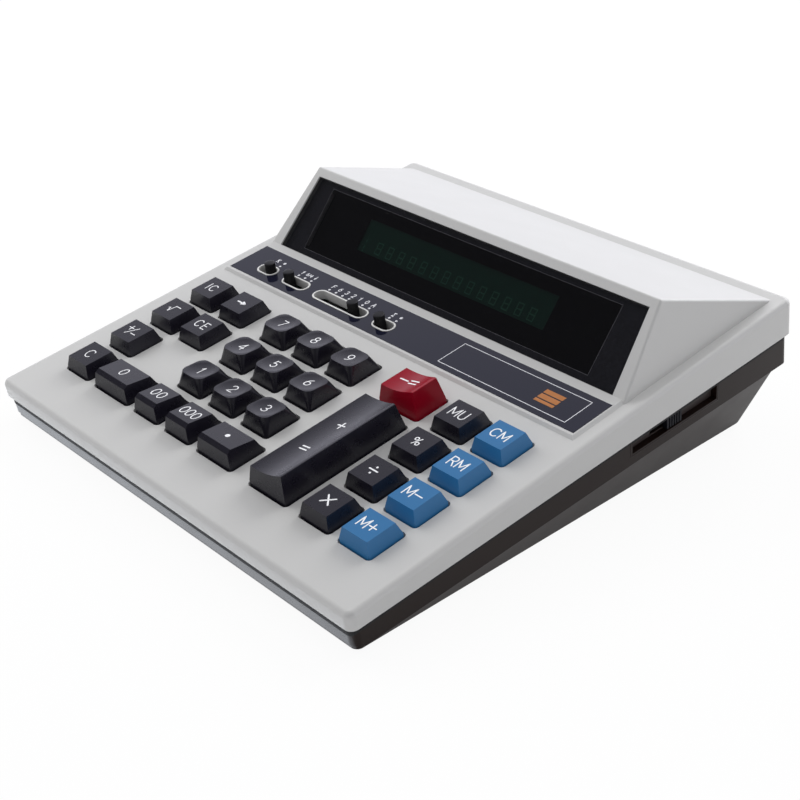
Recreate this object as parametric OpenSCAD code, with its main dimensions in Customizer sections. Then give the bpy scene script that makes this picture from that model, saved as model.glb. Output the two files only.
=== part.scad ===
// Desk calculator with a sloping key deck, a wedge hood and a two-tier base.
// Deck frame: x across, y up the slope from the front wall, z out of the deck.
// Model frame: Z up, Y to the rear, origin under the middle of the feet.

/* [Case] */
// Width of the case
body_w = 200.5; // [200.5:0.5:215]
// Length of the case along the deck
body_d = 212.5; // [209:0.5:225]
// Slope of the deck, in degrees
deck_tilt = 10.1; // [8:0.1:12]
// Wall of the upper and lower case
wall = 2.4; // [2:0.1:2.8]
// Soft edge between deck and side walls
edge_r = 2; // [1:0.25:2.5]
// Upright corner radius of the case
corner_r = 3; // [3:0.25:6]
// Side wall of the upper case at the front
case_front_h = 6.5; // [5.5:0.25:7.5]
// Slope of the parting line against the deck, in degrees
case_slope = 2.1; // [1.6:0.1:2.5]
// Shadow gap between the two case halves
seam = 1.4; // [0.8:0.1:2]

/* [Base] */
// Underside of the base below the deck at the front
base_front_h = 15.4; // [15:0.1:20]
// Bottom of the upper band below the deck at the front
band_front_h = 13.8; // [13:0.1:14.4]
// Slope of the band's bottom edge against the deck, in degrees
band_slope = 3.6; // [3:0.1:4]
// Band set back from the upper case
band_inset = 1.2; // [1:0.1:2]
// Upright corner radius of the band
band_corner_r = 3; // [2:0.25:5]
// Band set back from the upper case at the rear
band_rear_inset = 1; // [0.8:0.1:3.5]
// Rear wall of the lower tier set forward from the rear of the case
tier_rear_inset = 2.2; // [1:0.2:6]
// Bottom of the lower tier set in from the band at the rear
tier_side_inset = 9.3; // [6:0.1:11]
// Upright corner radius of the lower tier's bottom
tier_corner_r = 8; // [5:0.5:12]
// Floor of the base
floor_t = 2.4; // [2:0.1:3]
// Height of the rubber feet below the base
foot_h = 2; // [1.5:0.1:3]
// Diameter of the rubber feet
foot_d = 12; // [9:0.5:14]
// Depth of the feet's seats in the floor
foot_seat = 0.8; // [0.5:0.1:1.2]

/* [Hood] */
// Front of the hood from the front wall
hood_y = 126.3; // [126:0.1:128]
// Length of the hood along the deck
hood_len = 80.6; // [79:0.2:82]
// Ridge behind the hood's front
ridge_y = 27.3; // [26:0.1:29]
// Ridge above the deck
ridge_h = 25.15; // [24:0.05:28]
// Hood set in from the sides of the case
hood_side = 5.25; // [4.5:0.25:7]
// Lean of the hood's sides, over the ridge height
ridge_side = 5.4; // [4:0.1:6]
// Height of the step under the control strip
step_h = 1; // [0.6:0.1:1.4]
// Bevel around the step
step_bevel = 1.1; // [0.6:0.1:1.4]

/* [Display] */
// Window's lower edge above the hood's foot, up the slope
window_foot = 1.6; // [1.2:0.1:2.5]
// Height of the window, up the slope
window_h = 31.8; // [28:0.1:32.4]
// Window's lower corners set in from the hood's sides
window_side = 5.8; // [5.4:0.1:9]
// Window's upper corners set in from its lower ones
window_taper = 2.6; // [2.6:0.1:5]
// Thickness of the window
window_t = 1.6; // [1.2:0.1:2]
// Window set back from the hood's front
window_recess = 0.6; // [0.4:0.1:1]
// Ends of the display tube set in from the opening
tube_side = 3.6; // [3:0.2:12]
// Height of the display tube
tube_h = 25; // [20:0.5:26]
// Thickness of the display tube
tube_t = 7; // [6:0.5:8]

/* [Control strip] */
// Control strip set in from the hood's sides
strip_side = 2; // [1.9:0.1:4]
// Front edge of the control strip from the front wall
strip_y = 103.95; // [103.8:0.05:104.6]
// Length of the control strip along the deck
strip_d = 19.15; // [18:0.05:20]
// Thickness of the control strip
strip_t = 0.5; // [0.4:0.1:0.8]
// Centre line of the selector slots from the front wall
slot_y = 111; // [110.5:0.1:112]
// Outer width of the slot rims
rim_w = 6.6; // [6.2:0.1:7]
// Wall of the slot rims
rim_t = 0.7; // [0.5:0.1:0.9]
// Step between two selector positions
slot_pitch = 3.9; // [3.6:0.1:4.2]
// Diameter of the selector knobs
knob_d = 4.3; // [3.8:0.1:4.6]
// Top of the selector knobs above the deck
knob_h = 5; // [4:0.1:7]

/* [Keys] */
// Distance between two keys
key_pitch = 19.05; // [18.4:0.05:19.5]
// Width of a key at the deck
key_w = 14.3; // [13.8:0.1:14.6]
// Depth of a key at the deck
key_d = 14.7; // [14.2:0.1:15]
// Height of the flat keys above the deck
flat_h = 5.3; // [4.5:0.1:6.5]
// Height of the digit keys above the deck
digit_h = 6; // [5:0.1:7]
// Height of the zero row's keys above the deck
zero_h = 6; // [5:0.1:7]
// Height of the long key's lower side above the deck
bar_low_h = 7.5; // [6.5:0.1:8.5]
// Height of the long key's upper side above the deck
bar_high_h = 10.2; // [9.5:0.1:11]
// Travel of a key
travel = 3; // [2:0.1:3.2]
// Gap around a key in its hole
hole_gap = 0.7; // [0.3:0.05:0.8]
// Wall of a key cap
cap_wall = 1.3; // [1:0.1:1.6]
// Side of the square key stem
stem_w = 4.8; // [4:0.1:5]

/* [Key unit] */
// Top of the key frame below the deck
frame_z = 6.6; // [6.4:0.1:6.8]
// Thickness of the key frame
frame_t = 1.6; // [1.4:0.1:1.8]
// Top of the key circuit board below the deck
board_z = 13.4; // [13.2:0.1:13.6]
// Thickness of the circuit boards
board_t = 1.6; // [1.2:0.1:1.6]
// Thickness of the rubber dome sheet
sheet_t = 1; // [0.6:0.1:1.2]
// Diameter of a rubber dome
dome_d = 8.4; // [7:0.1:9]

/* [Power switch] */
// Centre of the side pocket from the front wall
pocket_y = 147.2; // [146:0.2:149]
// Length of the side pocket
pocket_len = 45; // [42:0.5:47]
// Depth of the side pocket
pocket_depth = 2.4; // [2:0.1:2.4]
// Band left below the side pocket
pocket_sill = 4.1; // [3:0.1:4.1]
// Length of the power knob
power_len = 7.7; // [6:0.1:9]
// Height of the power knob
power_h = 4.4; // [4:0.1:4.6]
// Travel of the power knob
power_travel = 8.5; // [5:0.1:9]

/* [Inside] */
// Width of the transformer core
core_w = 36; // [30:1:40]
// Length of the transformer core
core_d = 34; // [28:1:36]
// Height of the transformer core
core_h = 30; // [26:1:32]
// Shank diameter of the screws
screw_d = 2.9; // [2.5:0.1:3]
// Height of the main board above the floor
main_lift = 5; // [4:0.5:6]

/* [Hidden] */
$fn = 48;

// Clearances
fit = 0.1; // face to face between rigid pieces
slide_fit = 0.06; // key stem in its guide, each side
thread_fit = 0.03; // screw shank in its pilot hole, radial
soft_fit = 0.3; // rubber and foam to what they touch
over = 1; // cutters past the face they cut
far = 300; // cutters across the whole case

// Colours
case_c = "#bfbfbb";
base_c = "#2f2a27";
strip_c = "#3f4150";
black_c = "#2a2a2e";
blue_c = "#2f6ea5";
red_c = "#a0122a";
board_c = "#2f6b3f";
metal_c = "#b9bcc0";
rubber_c = "#3a3a3a";

// Deck frame in the model frame
front_most = edge_r * (cos(deck_tilt) + sin(deck_tilt) - 1);
case_rear_h = case_front_h + body_d * tan(case_slope);
band_end = body_d - band_rear_inset;
band_rear_h = band_front_h + band_end * tan(band_slope);
rear_most = max(body_d * cos(deck_tilt) + case_rear_h * sin(deck_tilt),
    band_end * cos(deck_tilt) + band_rear_h * sin(deck_tilt));
deck_y0 = -(front_most + rear_most) / 2;
deck_z0 = foot_h + base_front_h * cos(deck_tilt);
band_h = band_front_h - case_front_h - seam;

// Model frame position of a point of the deck frame
function model_y(y, z) = deck_y0 + y * cos(deck_tilt) - z * sin(deck_tilt);
function model_z(y, z) = deck_z0 + y * sin(deck_tilt) + z * cos(deck_tilt);

// Hood
hood_half = body_w / 2 - hood_side;
front_lean = atan(ridge_h / ridge_y);
top_lean = atan(ridge_h / (hood_len - ridge_y));
side_lean = ridge_side / ridge_h;
hood_r = 1;
step_inset = 0.3; // step's foot behind the hood's side
step_front = strip_y - step_bevel - 1.2;
ledge_t = 1.6;
ledge = 4;
ledge_side = 8;
ring_depth = window_recess + window_t + ledge_t;
window_w = 2 * (hood_half - window_side);
window_top_w = window_w - 2 * window_taper;
strip_w = 2 * (hood_half - strip_side);
opening_foot = window_foot + ledge;
opening_h = window_h - 2 * ledge;
opening_w = window_top_w - 2 * ledge_side;
opening_s = opening_foot + opening_h / 2;
ring_out = 1.5; // wall of the window's well
tube_gap = 2.2; // tube behind the well
tube_w = opening_w - 2 * tube_side;
tube_n = -ring_depth - tube_gap;
tip_out = 4; // sealed tip past the tube's end
tip_d = 4;
pin_t = 0.6;
pin_pitch = 7.5;
pin_foot = 1.4; // pins in front of the tube's lower edge
pad_t = 3;
pad_w = 10;
display_boss_x = opening_w / 2 + 4.5;
display_boss_s = [7, 27];
display_margin = 4.2; // display board past its screws
display_board_n = tube_n - tube_t - pad_t;
display_board_w = 2 * (display_boss_x + display_margin);

// Key grid: columns and rows
col_a = -78.35;
col_b = col_a + key_pitch;
col_c = -33.4;
col_d = col_c + key_pitch;
col_e = col_d + key_pitch;
col_f = 59.95;
col_g = col_f + key_pitch;
row_1 = 28;
row_2 = row_1 + key_pitch;
row_3 = row_2 + key_pitch;
row_4 = row_3 + key_pitch;
wide_w = key_w + key_pitch / 4;
zero_w = key_w + key_pitch * 3 / 8;
bar_x = 36.35;

// Each key: x, y, width, depth
k_clear = [col_a, row_1, key_w, key_d];
k_sign = [col_a, row_2, key_w, key_d];
k_root = [col_a, row_3, key_w, key_d];
k_item = [col_a, row_4, key_w, key_d];
k_entry = [col_b, row_3, key_w, key_d];
k_back = [col_b, row_4, key_w, key_d];
k_0 = [col_b + (zero_w - key_w) / 2, row_1, zero_w, key_d];
k_00 = [col_c, row_1, key_w, key_d];
k_000 = [col_d, row_1, key_w, key_d];
k_point = [col_e + (wide_w - key_w) / 2, row_1, wide_w, key_d];
k_1 = [col_c, row_2, key_w, key_d];
k_2 = [col_d, row_2, key_w, key_d];
k_3 = [col_e, row_2, key_w, key_d];
k_4 = [col_c, row_3, key_w, key_d];
k_5 = [col_d, row_3, key_w, key_d];
k_6 = [col_e, row_3, key_w, key_d];
k_7 = [col_c, row_4, key_w, key_d];
k_8 = [col_d, row_4, key_w, key_d];
k_9 = [col_e, row_4, key_w, key_d];
k_multiply = [col_f, row_1, key_w, key_d];
k_divide = [col_f, row_2, key_w, key_d];
k_percent = [col_f, row_3, key_w, key_d];
k_markup = [col_f, row_4, key_w, key_d];
k_mem_plus = [col_g, row_1, key_w, key_d];
k_mem_minus = [col_g, row_2, key_w, key_d];
k_mem_recall = [col_g, row_3, key_w, key_d];
k_mem_clear = [col_g, row_4, key_w, key_d];
k_minus = [bar_x, row_4, wide_w, key_d];
k_plus = [bar_x, row_2, wide_w, key_d + 2 * key_pitch];
single_keys = [k_clear, k_sign, k_root, k_item, k_entry, k_back, k_0, k_00, k_000, k_point, k_1, k_2,
    k_3, k_4, k_5, k_6, k_7, k_8, k_9, k_multiply, k_divide, k_percent, k_markup, k_mem_plus,
    k_mem_minus, k_mem_recall, k_mem_clear, k_minus];
keys = concat(single_keys, [k_plus]);

// Key caps
flat_side = 1.3;
flat_front = 1.35;
flat_rear = 1.75;
digit_side = 1.3;
digit_front = 1.5;
digit_rear = 2.3;
digit_rise = 0.5; // front edge of the top above its middle
digit_corner = 3;
dish_r = 34;
dish_depth = 0.5;
zero_side = 1.5;
zero_rear = 2.3;
zero_bevel_y = 1; // foot of the front bevel behind the key's front
zero_bevel = 1.7; // length of the front bevel
zero_rise = 0.7;
bar_side = 1.5;
bar_front = 1.5;
bar_rear = 2.2;
bar_lip = 0.8;
bar_dish = 1;
cap_corner = 1;
skirt = wall + 0.8;
cap_top = 1.5;
stem_end = frame_z + frame_t + 0.7;
flange_w = stem_w + 1.6;
flange_t = 0.5;
stem_gap = key_pitch * 3 / 4; // stems of the long key from its middle
guide_w = stem_w + 2 * slide_fit + 2.6;
guide_top = travel - flat_h + cap_top + 0.3; // guide below the deck
stems = concat([for (k = single_keys) [k[0], k[1]]],
    [for (s = [-1, 1]) [k_plus[0], k_plus[1] + s * stem_gap]]);

// Key unit: outline and screws
unit_side = 6.75; // key unit set in from the case's sides
unit_half = body_w / 2 - unit_side;
unit_front = row_1 - key_pitch / 2;
unit_rear = row_4 + 10.85;
side_screw_x = unit_half - 3.5;
left_gap = (col_b + col_c) / 2; // free strips of the deck between the key blocks
right_gap = (col_e + k_plus[0] - wide_w / 2 + key_w / 2) / 2;
unit_screws = concat([for (x = [-side_screw_x, side_screw_x], y = [row_1 + 9, row_4 - 1.15]) [x, y]],
    [[right_gap, row_2 + 1], [right_gap, row_4], [left_gap, row_4 - 4]]);
boss_d = 6.4;
clear_d = screw_d + 0.4;
dome_top = stem_end + soft_fit;

// Selectors: slot centre, positions, present position counted from the left
strip_left = -strip_w / 2;
constant_slot = [strip_left + 16.1, 2, 2];
rounding_slot = [strip_left + 33.9, 3, 1];
decimal_slot = [strip_left + 60.7, 7, 6];
total_slot = [strip_left + 85.7, 2, 1];
slots = [constant_slot, rounding_slot, decimal_slot, total_slot];
rim_h = step_h + 0.3;
selector_top = wall + 1.6; // top of the switch bodies below the deck
selector_h = 6;
selector_board_z = selector_top + selector_h;
selector_body_w = 6.8;
selector_stem = [3, 2.6];
selector_stem_end = selector_top + 3;
selector_left = strip_left + 2;
selector_right = selector_left + 103;
selector_front = slot_y - 7;
selector_rear = slot_y + 11.5;
selector_screws = [for (x = [5, 45.5, 94]) [selector_left + x, selector_rear - 3.5]];
function slot_len(s) = rim_w + (s[1] - 1) * slot_pitch;
function knob_x(s) = s[0] + (s[2] - (s[1] + 1) / 2) * slot_pitch;

// Side pocket and power switch, in a frame on the band's bottom edge
band_half = body_w / 2 - band_inset;
pocket_floor = band_half - pocket_depth;
backing_t = 2;
backing_in = pocket_floor - backing_t;
power_z = pocket_sill + (power_h + 0.8) / 2;
power_rest = -0.3; // power knob's middle behind the pocket's middle
power_stem = [3, 2.8];
power_slot_h = power_stem[1] + 0.6;
power_body = [9, 28, 7.4];

// Base: model frame
tier_rear_y = model_y(body_d, 0) - tier_rear_inset;
floor_top = foot_h + floor_t;
tier_front_y = model_y(band_inset + 0.6, -base_front_h);
tier_top_rear = (tier_rear_y - deck_y0 - band_front_h * sin(deck_tilt))
    / (cos(deck_tilt) + tan(band_slope) * sin(deck_tilt));
foot_x = body_w / 2 - 20.25;
rear_foot_x = foot_x - 12;
feet = [for (s = [-1, 1]) each [[s * foot_x, deck_y0 + 26], [s * rear_foot_x, tier_rear_y - 20]]];
case_boss_d = 8.4;
head_d = 5.6;
head_h = 2.2;
front_screw_y = deck_y0 + 11.5;
rear_screw_y = tier_rear_y - 12;
front_screw_x = body_w / 2 - 12.25;
rear_screw_x = body_w / 2 - 20.25;
// x, y, roof of the head's seat, top of the lower boss, top of the screw
case_screw_spots = [for (s = [-1, 1]) each [
    [s * front_screw_x, front_screw_y, foot_h + 3.2, foot_h + 6.4, foot_h + 12],
    [s * rear_screw_x, rear_screw_y, foot_h + 16, foot_h + 22, foot_h + 32]]];

// Main board and transformer: model frame
main_w = 86;
main_d = 62;
main_left = 16.25 - body_w / 2;
main_right = main_left + main_w;
main_rear = tier_rear_y - 33;
main_front = main_rear - main_d;
main_z = floor_top + main_lift;
main_top = main_z + board_t + fit;
socket_d = 5;
socket_h = 6;
socket_top = main_top + socket_h;
key_socket = [main_left + 10, main_front + 22, 16];
selector_socket = [main_left + 44, main_front + 4, 14];
display_socket = [main_left + 49, main_rear - 8, 22];
power_socket = [main_right - 14, main_front + 12.5, 14];
main_screws = [for (x = [main_left + 5, main_right - 5], y = [main_front + 5, main_rear - 5]) [x, y]];
// Chips and capacitors: x and y from the board's front left corner, then their sizes
chips = [[34, 33, 45, 14, 4], [22, 12, 20, 7, 3.4], [50, 12, 20, 7, 3.4]];
capacitors = [[70, 51, 8, 14], [64, 40, 8, 14], [75, 38, 12, 18]];
heat_sink = [8, 48, 22, 14];
regulator = [10, 2.8, 9];
lead_pitch = 2.54;
vents = 8;
vent_pitch = 9;
core_x = body_w / 2 - 50.25;
core_y = tier_rear_y - 34;
lug_t = 1.2;
lug_x = core_w / 2 + 4.5;
core_post = 3;
inlet_x = core_x - 33;
inlet_z = floor_top + 9.5;
inlet_w = 18;
inlet_h = 11;
inlet_flange = 1.6;
inlet_body_d = 14;
inlet_pitch = 8.6;
inlet_face = tier_rear_y + inlet_flange;

// ---------- helpers ----------

module deck() {
    translate([0, deck_y0, deck_z0]) rotate([deck_tilt, 0, 0]) children();
}

// Frame on the hood's front: x across, y up the slope, z out of it
module hood_face() {
    deck() translate([0, hood_y, 0]) rotate([front_lean, 0, 0]) children();
}

// Frame on the band's lower right edge at the pocket: y along the edge, z up
module pocket_frame() {
    deck() translate([0, pocket_y, -band_front_h - pocket_y * tan(band_slope)])
        rotate([-band_slope, 0, 0]) children();
}

// Extrudes a (y, z) outline along x
module along_x(length) {
    rotate([90, 0, 90]) linear_extrude(length, center = true) children();
}

// Extrudes an (x, z) outline along y
module along_y(length) {
    rotate([90, 0, 0]) linear_extrude(length, center = true) children();
}

module rounded_rect(w, d, r) {
    square([w - 2 * r, d], center = true);
    square([w, d - 2 * r], center = true);
    for (x = [-1, 1], y = [-1, 1])
        translate([x * (w / 2 - r), y * (d / 2 - r)]) circle(r);
}

module stadium(length, w) {
    square([length - w, w], center = true);
    for (s = [-1, 1]) translate([s * (length - w) / 2, 0]) circle(d = w);
}

// Slab with its top at z = 0, round upright corners and a soft top edge
module soft_slab(w, d, h, corner, edge) {
    translate([0, 0, -h]) linear_extrude(h - edge) rounded_rect(w, d, corner);
    translate([0, 0, -h]) linear_extrude(h) rounded_rect(w - 2 * edge, d - 2 * edge, corner - edge);
    for (s = [-1, 1]) {
        translate([s * (w / 2 - edge), 0, -edge]) rotate([90, 0, 0])
            cylinder(h = d - 2 * corner, r = edge, center = true);
        translate([0, s * (d / 2 - edge), -edge]) rotate([0, 90, 0])
            cylinder(h = w - 2 * corner, r = edge, center = true);
    }
    for (x = [-1, 1], y = [-1, 1])
        translate([x * (w / 2 - corner), y * (d / 2 - corner), -edge])
            rotate_extrude() intersection() {
                translate([corner - edge, 0]) circle(edge);
                translate([0, -edge]) square([corner + over, 2 * edge + over]);
            }
}

// Straight skirt below z = 0 and a four-sided taper above it
module taper(w, d, low, high, side, front, rear, rise = 0) {
    intersection() {
        along_y(far) polygon([[-w / 2, low], [w / 2, low], [w / 2, 0], [w / 2 - side, high + abs(rise)],
            [side - w / 2, high + abs(rise)], [-w / 2, 0]]);
        along_x(far) polygon([[-d / 2, low], [d / 2, low], [d / 2, 0], [d / 2 - rear, high - rise],
            [front - d / 2, high + rise], [-d / 2, 0]]);
    }
}

// Wire of straight runs through points, each run going a little past its bends,
// every second run a little thicker so that each bend is a plain crossing
module wire(points, r) {
    last = len(points) - 2;
    for (i = [0 : last]) {
        v = points[i + 1] - points[i];
        length = norm(v);
        before = i > 0 ? 0.6 * r : 0;
        after = i < last ? 0.6 * r : 0;
        translate(points[i]) rotate([0, acos(v[2] / length), atan2(v[1], v[0])])
            translate([0, 0, -before]) cylinder(h = length + before + after, r = r + (i % 2) * 0.08, $fn = 32);
    }
}

// ---------- upper case ----------

module below_parting(drop = 0) {
    translate([0, 0, -case_front_h - drop]) rotate([-case_slope, 0, 0])
        translate([-far / 2, -far / 4, -far]) cube([far, 2 * far, far]);
}

// Half width of the hood, and its front and rear, at height z, set in by depth
function hood_x(z, depth) = hood_half - side_lean * z - depth * sqrt(1 + side_lean * side_lean);
function hood_front(z, depth) = hood_y + depth / sin(front_lean) + z / tan(front_lean);
function hood_rear(z, depth) = hood_y + hood_len - depth / sin(top_lean) - z / tan(top_lean);
function hood_ridge(depth) = (hood_rear(0, depth) - hood_front(0, depth))
    / (1 / tan(front_lean) + 1 / tan(top_lean));

// Wedge with soft edges, let into the deck
module hood_block() {
    foot = hood_r - wall + 0.2;
    top = hood_ridge(hood_r);
    corners = [[hood_front(foot, hood_r), foot], [hood_rear(foot, hood_r), foot],
        [hood_front(top, hood_r), top]];
    hull() for (s = [-1, 1], c = corners)
        translate([s * hood_x(c[1], hood_r), c[0], c[1]]) sphere(hood_r, $fn = 32);
}

module hood_cavity() {
    low = -wall - over;
    top = hood_ridge(wall);
    intersection() {
        along_x(far) polygon([[hood_front(0, wall), low], [hood_front(0, wall), 0],
            [hood_front(top, wall), top], [hood_rear(0, wall), 0], [hood_rear(0, wall), low]]);
        translate([0, far / 2, 0]) along_y(far) polygon([[-hood_x(0, wall), low], [hood_x(0, wall), low],
            [hood_x(0, wall), 0], [hood_x(ridge_h, wall), ridge_h], [-hood_x(ridge_h, wall), ridge_h],
            [-hood_x(0, wall), 0]]);
    }
}

module step_block() {
    half = hood_half - step_inset;
    rear = hood_y + step_h + 2;
    intersection() {
        along_x(far) polygon([[step_front, 0], [step_front + step_bevel, step_h], [rear, step_h],
            [rear, -wall / 2], [step_front, -wall / 2]]);
        translate([0, far / 2, 0]) along_y(far) polygon([[-half, -wall / 2], [half, -wall / 2], [half, 0],
            [half - step_bevel, step_h], [step_bevel - half, step_h], [-half, 0]]);
    }
}

module window_outline(grow = 0) {
    polygon([[-window_w / 2 - grow, window_foot - grow], [window_w / 2 + grow, window_foot - grow],
        [window_top_w / 2 + grow, window_foot + window_h + grow],
        [-window_top_w / 2 - grow, window_foot + window_h + grow]]);
}

module window_ring() {
    low = window_foot - ring_out;
    high = window_foot + window_h - 1;
    translate([0, 0, -ring_depth]) linear_extrude(ring_depth - wall / 2)
        polygon([[-window_w / 2 - ring_out, low], [window_w / 2 + ring_out, low],
            [window_top_w / 2 + ring_out, high], [-window_top_w / 2 - ring_out, high]]);
}

module pilot(z0, z1) {
    translate([0, 0, z0]) cylinder(h = z1 - z0, r = screw_d / 2 + thread_fit);
}

module upper_case_solid() {
    deck() {
        difference() {
            translate([0, body_d / 2, 0]) soft_slab(body_w, body_d, far / 6, corner_r, edge_r);
            below_parting();
            translate([0, body_d / 2, -far]) linear_extrude(far - wall)
                rounded_rect(body_w - 2 * wall, body_d - 2 * wall, corner_r - wall);
            hood_cavity();
        }
        difference() {
            union() {
                hood_block();
                step_block();
            }
            hood_cavity();
        }
        for (s = slots) translate([s[0], slot_y, 0]) linear_extrude(rim_h) stadium(slot_len(s), rim_w);
        for (p = unit_screws) translate([p[0], p[1], fit - frame_z])
            cylinder(h = frame_z - fit - wall / 2, d = boss_d);
        for (p = selector_screws) translate([p[0], p[1], fit - selector_board_z])
            cylinder(h = selector_board_z - fit - wall / 2, d = boss_d);
    }
    hood_face() {
        window_ring();
        for (x = [-1, 1], s = display_boss_s)
            translate([x * display_boss_x, s, display_board_n + fit])
                cylinder(h = -display_board_n - fit - ring_depth + ledge_t / 2, d = boss_d);
    }
    intersection() {
        for (p = case_screw_spots) translate([p[0], p[1], p[3] + fit])
            cylinder(h = far, d = case_boss_d - 1.2);
        deck() translate([0, 0, -wall / 2]) {
            translate([-far / 2, -far / 2, -far]) cube([far, 2 * far, far]);
            hood_block();
        }
    }
}

module upper_case() {
    color(case_c) difference() {
        upper_case_solid();
        deck() {
            for (k = keys) translate([k[0], k[1], -wall - over]) linear_extrude(wall + 2 * over)
                rounded_rect(k[2] + 2 * hole_gap, k[3] + 2 * hole_gap, cap_corner + hole_gap);
            for (s = slots) translate([s[0], slot_y, -wall - over]) linear_extrude(wall + rim_h + 2 * over)
                stadium(slot_len(s) - 2 * rim_t, rim_w - 2 * rim_t);
            difference() {
                translate([0, strip_y + strip_d / 2, step_h - strip_t + fit]) linear_extrude(step_h)
                    square([strip_w + 2 * fit, strip_d + 2 * fit], center = true);
                for (s = slots) translate([s[0], slot_y, 0]) linear_extrude(2 * step_h)
                    stadium(slot_len(s), rim_w);
            }
            for (p = unit_screws) translate([p[0], p[1], 0]) pilot(-frame_z - over, -wall - 0.6);
            for (p = selector_screws) translate([p[0], p[1], 0]) pilot(-selector_board_z - over, -wall - 1);
        }
        hood_face() {
            translate([0, 0, -window_recess - window_t - fit]) linear_extrude(far / 10)
                window_outline(fit);
            translate([0, opening_s, -ring_depth - over])
                linear_extrude(ring_depth + over) square([opening_w, opening_h], center = true);
            for (x = [-1, 1], s = display_boss_s)
                translate([x * display_boss_x, s, 0]) pilot(display_board_n - over, -ring_depth - 1);
        }
        for (p = case_screw_spots) translate([p[0], p[1], 0]) pilot(p[3] - over, p[4] + 0.5);
    }
}

// ---------- lower case ----------

module band_top(drop = 0) {
    translate([0, 0, -case_front_h - seam - drop]) rotate([-case_slope, 0, 0])
        translate([-far / 2, -far / 4, 0]) cube([far, 2 * far, far]);
}

module below_band(lift = 0) {
    translate([0, 0, -band_front_h + lift]) rotate([-band_slope, 0, 0])
        translate([-far / 2, -far / 4, -far]) cube([far, 2 * far, far]);
}

// Upright ring or block inside the upper case's outline
module base_prism(inset, rear_inset, low, high) {
    w = body_w - 2 * inset;
    d = body_d - inset - rear_inset;
    translate([0, inset + d / 2, low]) linear_extrude(high - low)
        rounded_rect(w, d, max(band_corner_r + band_inset - inset, 1));
}

// Lower tier: from an outline on the band's bottom to one on the floor
module tier(inset, lift) {
    top_front = band_inset + 0.6 + inset;
    top_rear = tier_top_rear - inset;
    top_d = (top_rear - top_front) / cos(band_slope);
    front_half = band_half - 0.6 - inset;
    corner = tier_corner_r - inset;
    front_corner = max(band_corner_r - 0.6 - inset, 0.5);
    hull() {
        deck() translate([0, 0, -band_front_h + inset]) rotate([-band_slope, 0, 0])
            translate([0, (top_front + top_rear) / 2 / cos(band_slope), 0]) linear_extrude(1)
                rounded_rect(2 * front_half, top_d, front_corner, $fn = 32);
        for (x = [-1, 1]) {
            translate([x * (front_half - front_corner), tier_front_y + inset + front_corner, foot_h + lift])
                cylinder(h = 0.01, r = front_corner, $fn = 32);
            translate([x * (front_half - tier_side_inset - corner), tier_rear_y - inset - corner,
                foot_h + lift]) cylinder(h = 0.01, r = corner, $fn = 32);
        }
    }
}

module tongue() {
    difference() {
        base_prism(wall + 0.15, wall + 0.15, -far / 6, 0);
        base_prism(wall + 1.75, wall + 1.75, -far / 6 - over, over);
        band_top(-seam - 2.5);
        below_band(wall / 2);
    }
}

module lower_case_solid() {
    difference() {
        union() {
            deck() difference() {
                base_prism(band_inset, band_rear_inset, -far / 6, 0);
                band_top();
                below_band();
            }
            tier(0, 0);
        }
        deck() difference() {
            base_prism(band_inset + wall, band_rear_inset + wall, -far / 6, over);
            below_band(wall);
        }
        tier(wall, floor_t);
    }
    deck() tongue();
    pocket_frame() translate([backing_in, -pocket_len / 2 - wall, wall - 0.4]) {
        cube([band_half - 0.2 - backing_in, pocket_len + 2 * wall, band_h + 0.9]);
        cube([backing_t, pocket_len + 2 * wall, band_h + 4.4]);
    }
    for (p = case_screw_spots) translate([p[0], p[1], foot_h + floor_t / 2])
        cylinder(h = p[3] - foot_h - floor_t / 2, d = case_boss_d);
    for (p = main_screws) translate([p[0], p[1], floor_top - floor_t / 2])
        cylinder(h = main_lift - fit + floor_t / 2, d = boss_d);
    for (s = [-1, 1]) translate([core_x + s * lug_x, core_y, floor_top - floor_t / 2])
        cylinder(h = core_post - fit + floor_t / 2, d = boss_d);
}

module lower_case() {
    color(base_c) difference() {
        lower_case_solid();
        pocket_frame() {
            translate([pocket_floor, -pocket_len / 2, pocket_sill]) cube([far / 10, pocket_len, far / 10]);
            translate([backing_in - over, power_rest - power_travel - power_stem[0] / 2 - 0.5,
                power_z - power_slot_h / 2])
                cube([backing_t + 2 * over, power_travel + power_stem[0] + 1, power_slot_h]);
        }
        for (p = case_screw_spots) translate([p[0], p[1], 0]) {
            cylinder(h = p[2] + fit, d = head_d + 0.8);
            cylinder(h = p[3] + over, d = clear_d);
        }
        for (p = main_screws) translate([p[0], p[1], 0]) pilot(foot_h + floor_t - 0.6, main_z);
        for (s = [-1, 1]) translate([core_x + s * lug_x, core_y, 0])
            pilot(foot_h + floor_t / 2, floor_top + core_post + over);
        for (p = feet) translate([p[0], p[1], foot_h - over])
            cylinder(h = foot_seat + over, d = foot_d + 2 * fit);
        translate([inlet_x, tier_rear_y - wall / 2, inlet_z])
            cube([inlet_w + 2 * fit, 3 * wall, inlet_h + 2 * fit], center = true);
        for (i = [0 : vents - 1])
            translate([main_left + vent_pitch * (i + 1.33), main_front + main_d / 3, foot_h - over])
                cube([wall, main_d * 0.42, floor_t + 2 * over]);
    }
}

// ---------- strip, window and display ----------

module control_strip() {
    color(strip_c) deck() difference() {
        translate([0, strip_y + strip_d / 2, step_h - strip_t + fit]) linear_extrude(strip_t)
            square([strip_w, strip_d], center = true);
        for (s = slots) translate([s[0], slot_y, 0]) linear_extrude(2 * step_h)
            stadium(slot_len(s) + 2 * fit, rim_w + 2 * fit);
    }
}

module display_window() {
    color("#15161a") hood_face() translate([0, 0, -window_recess - window_t])
        linear_extrude(window_t) window_outline();
}

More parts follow.
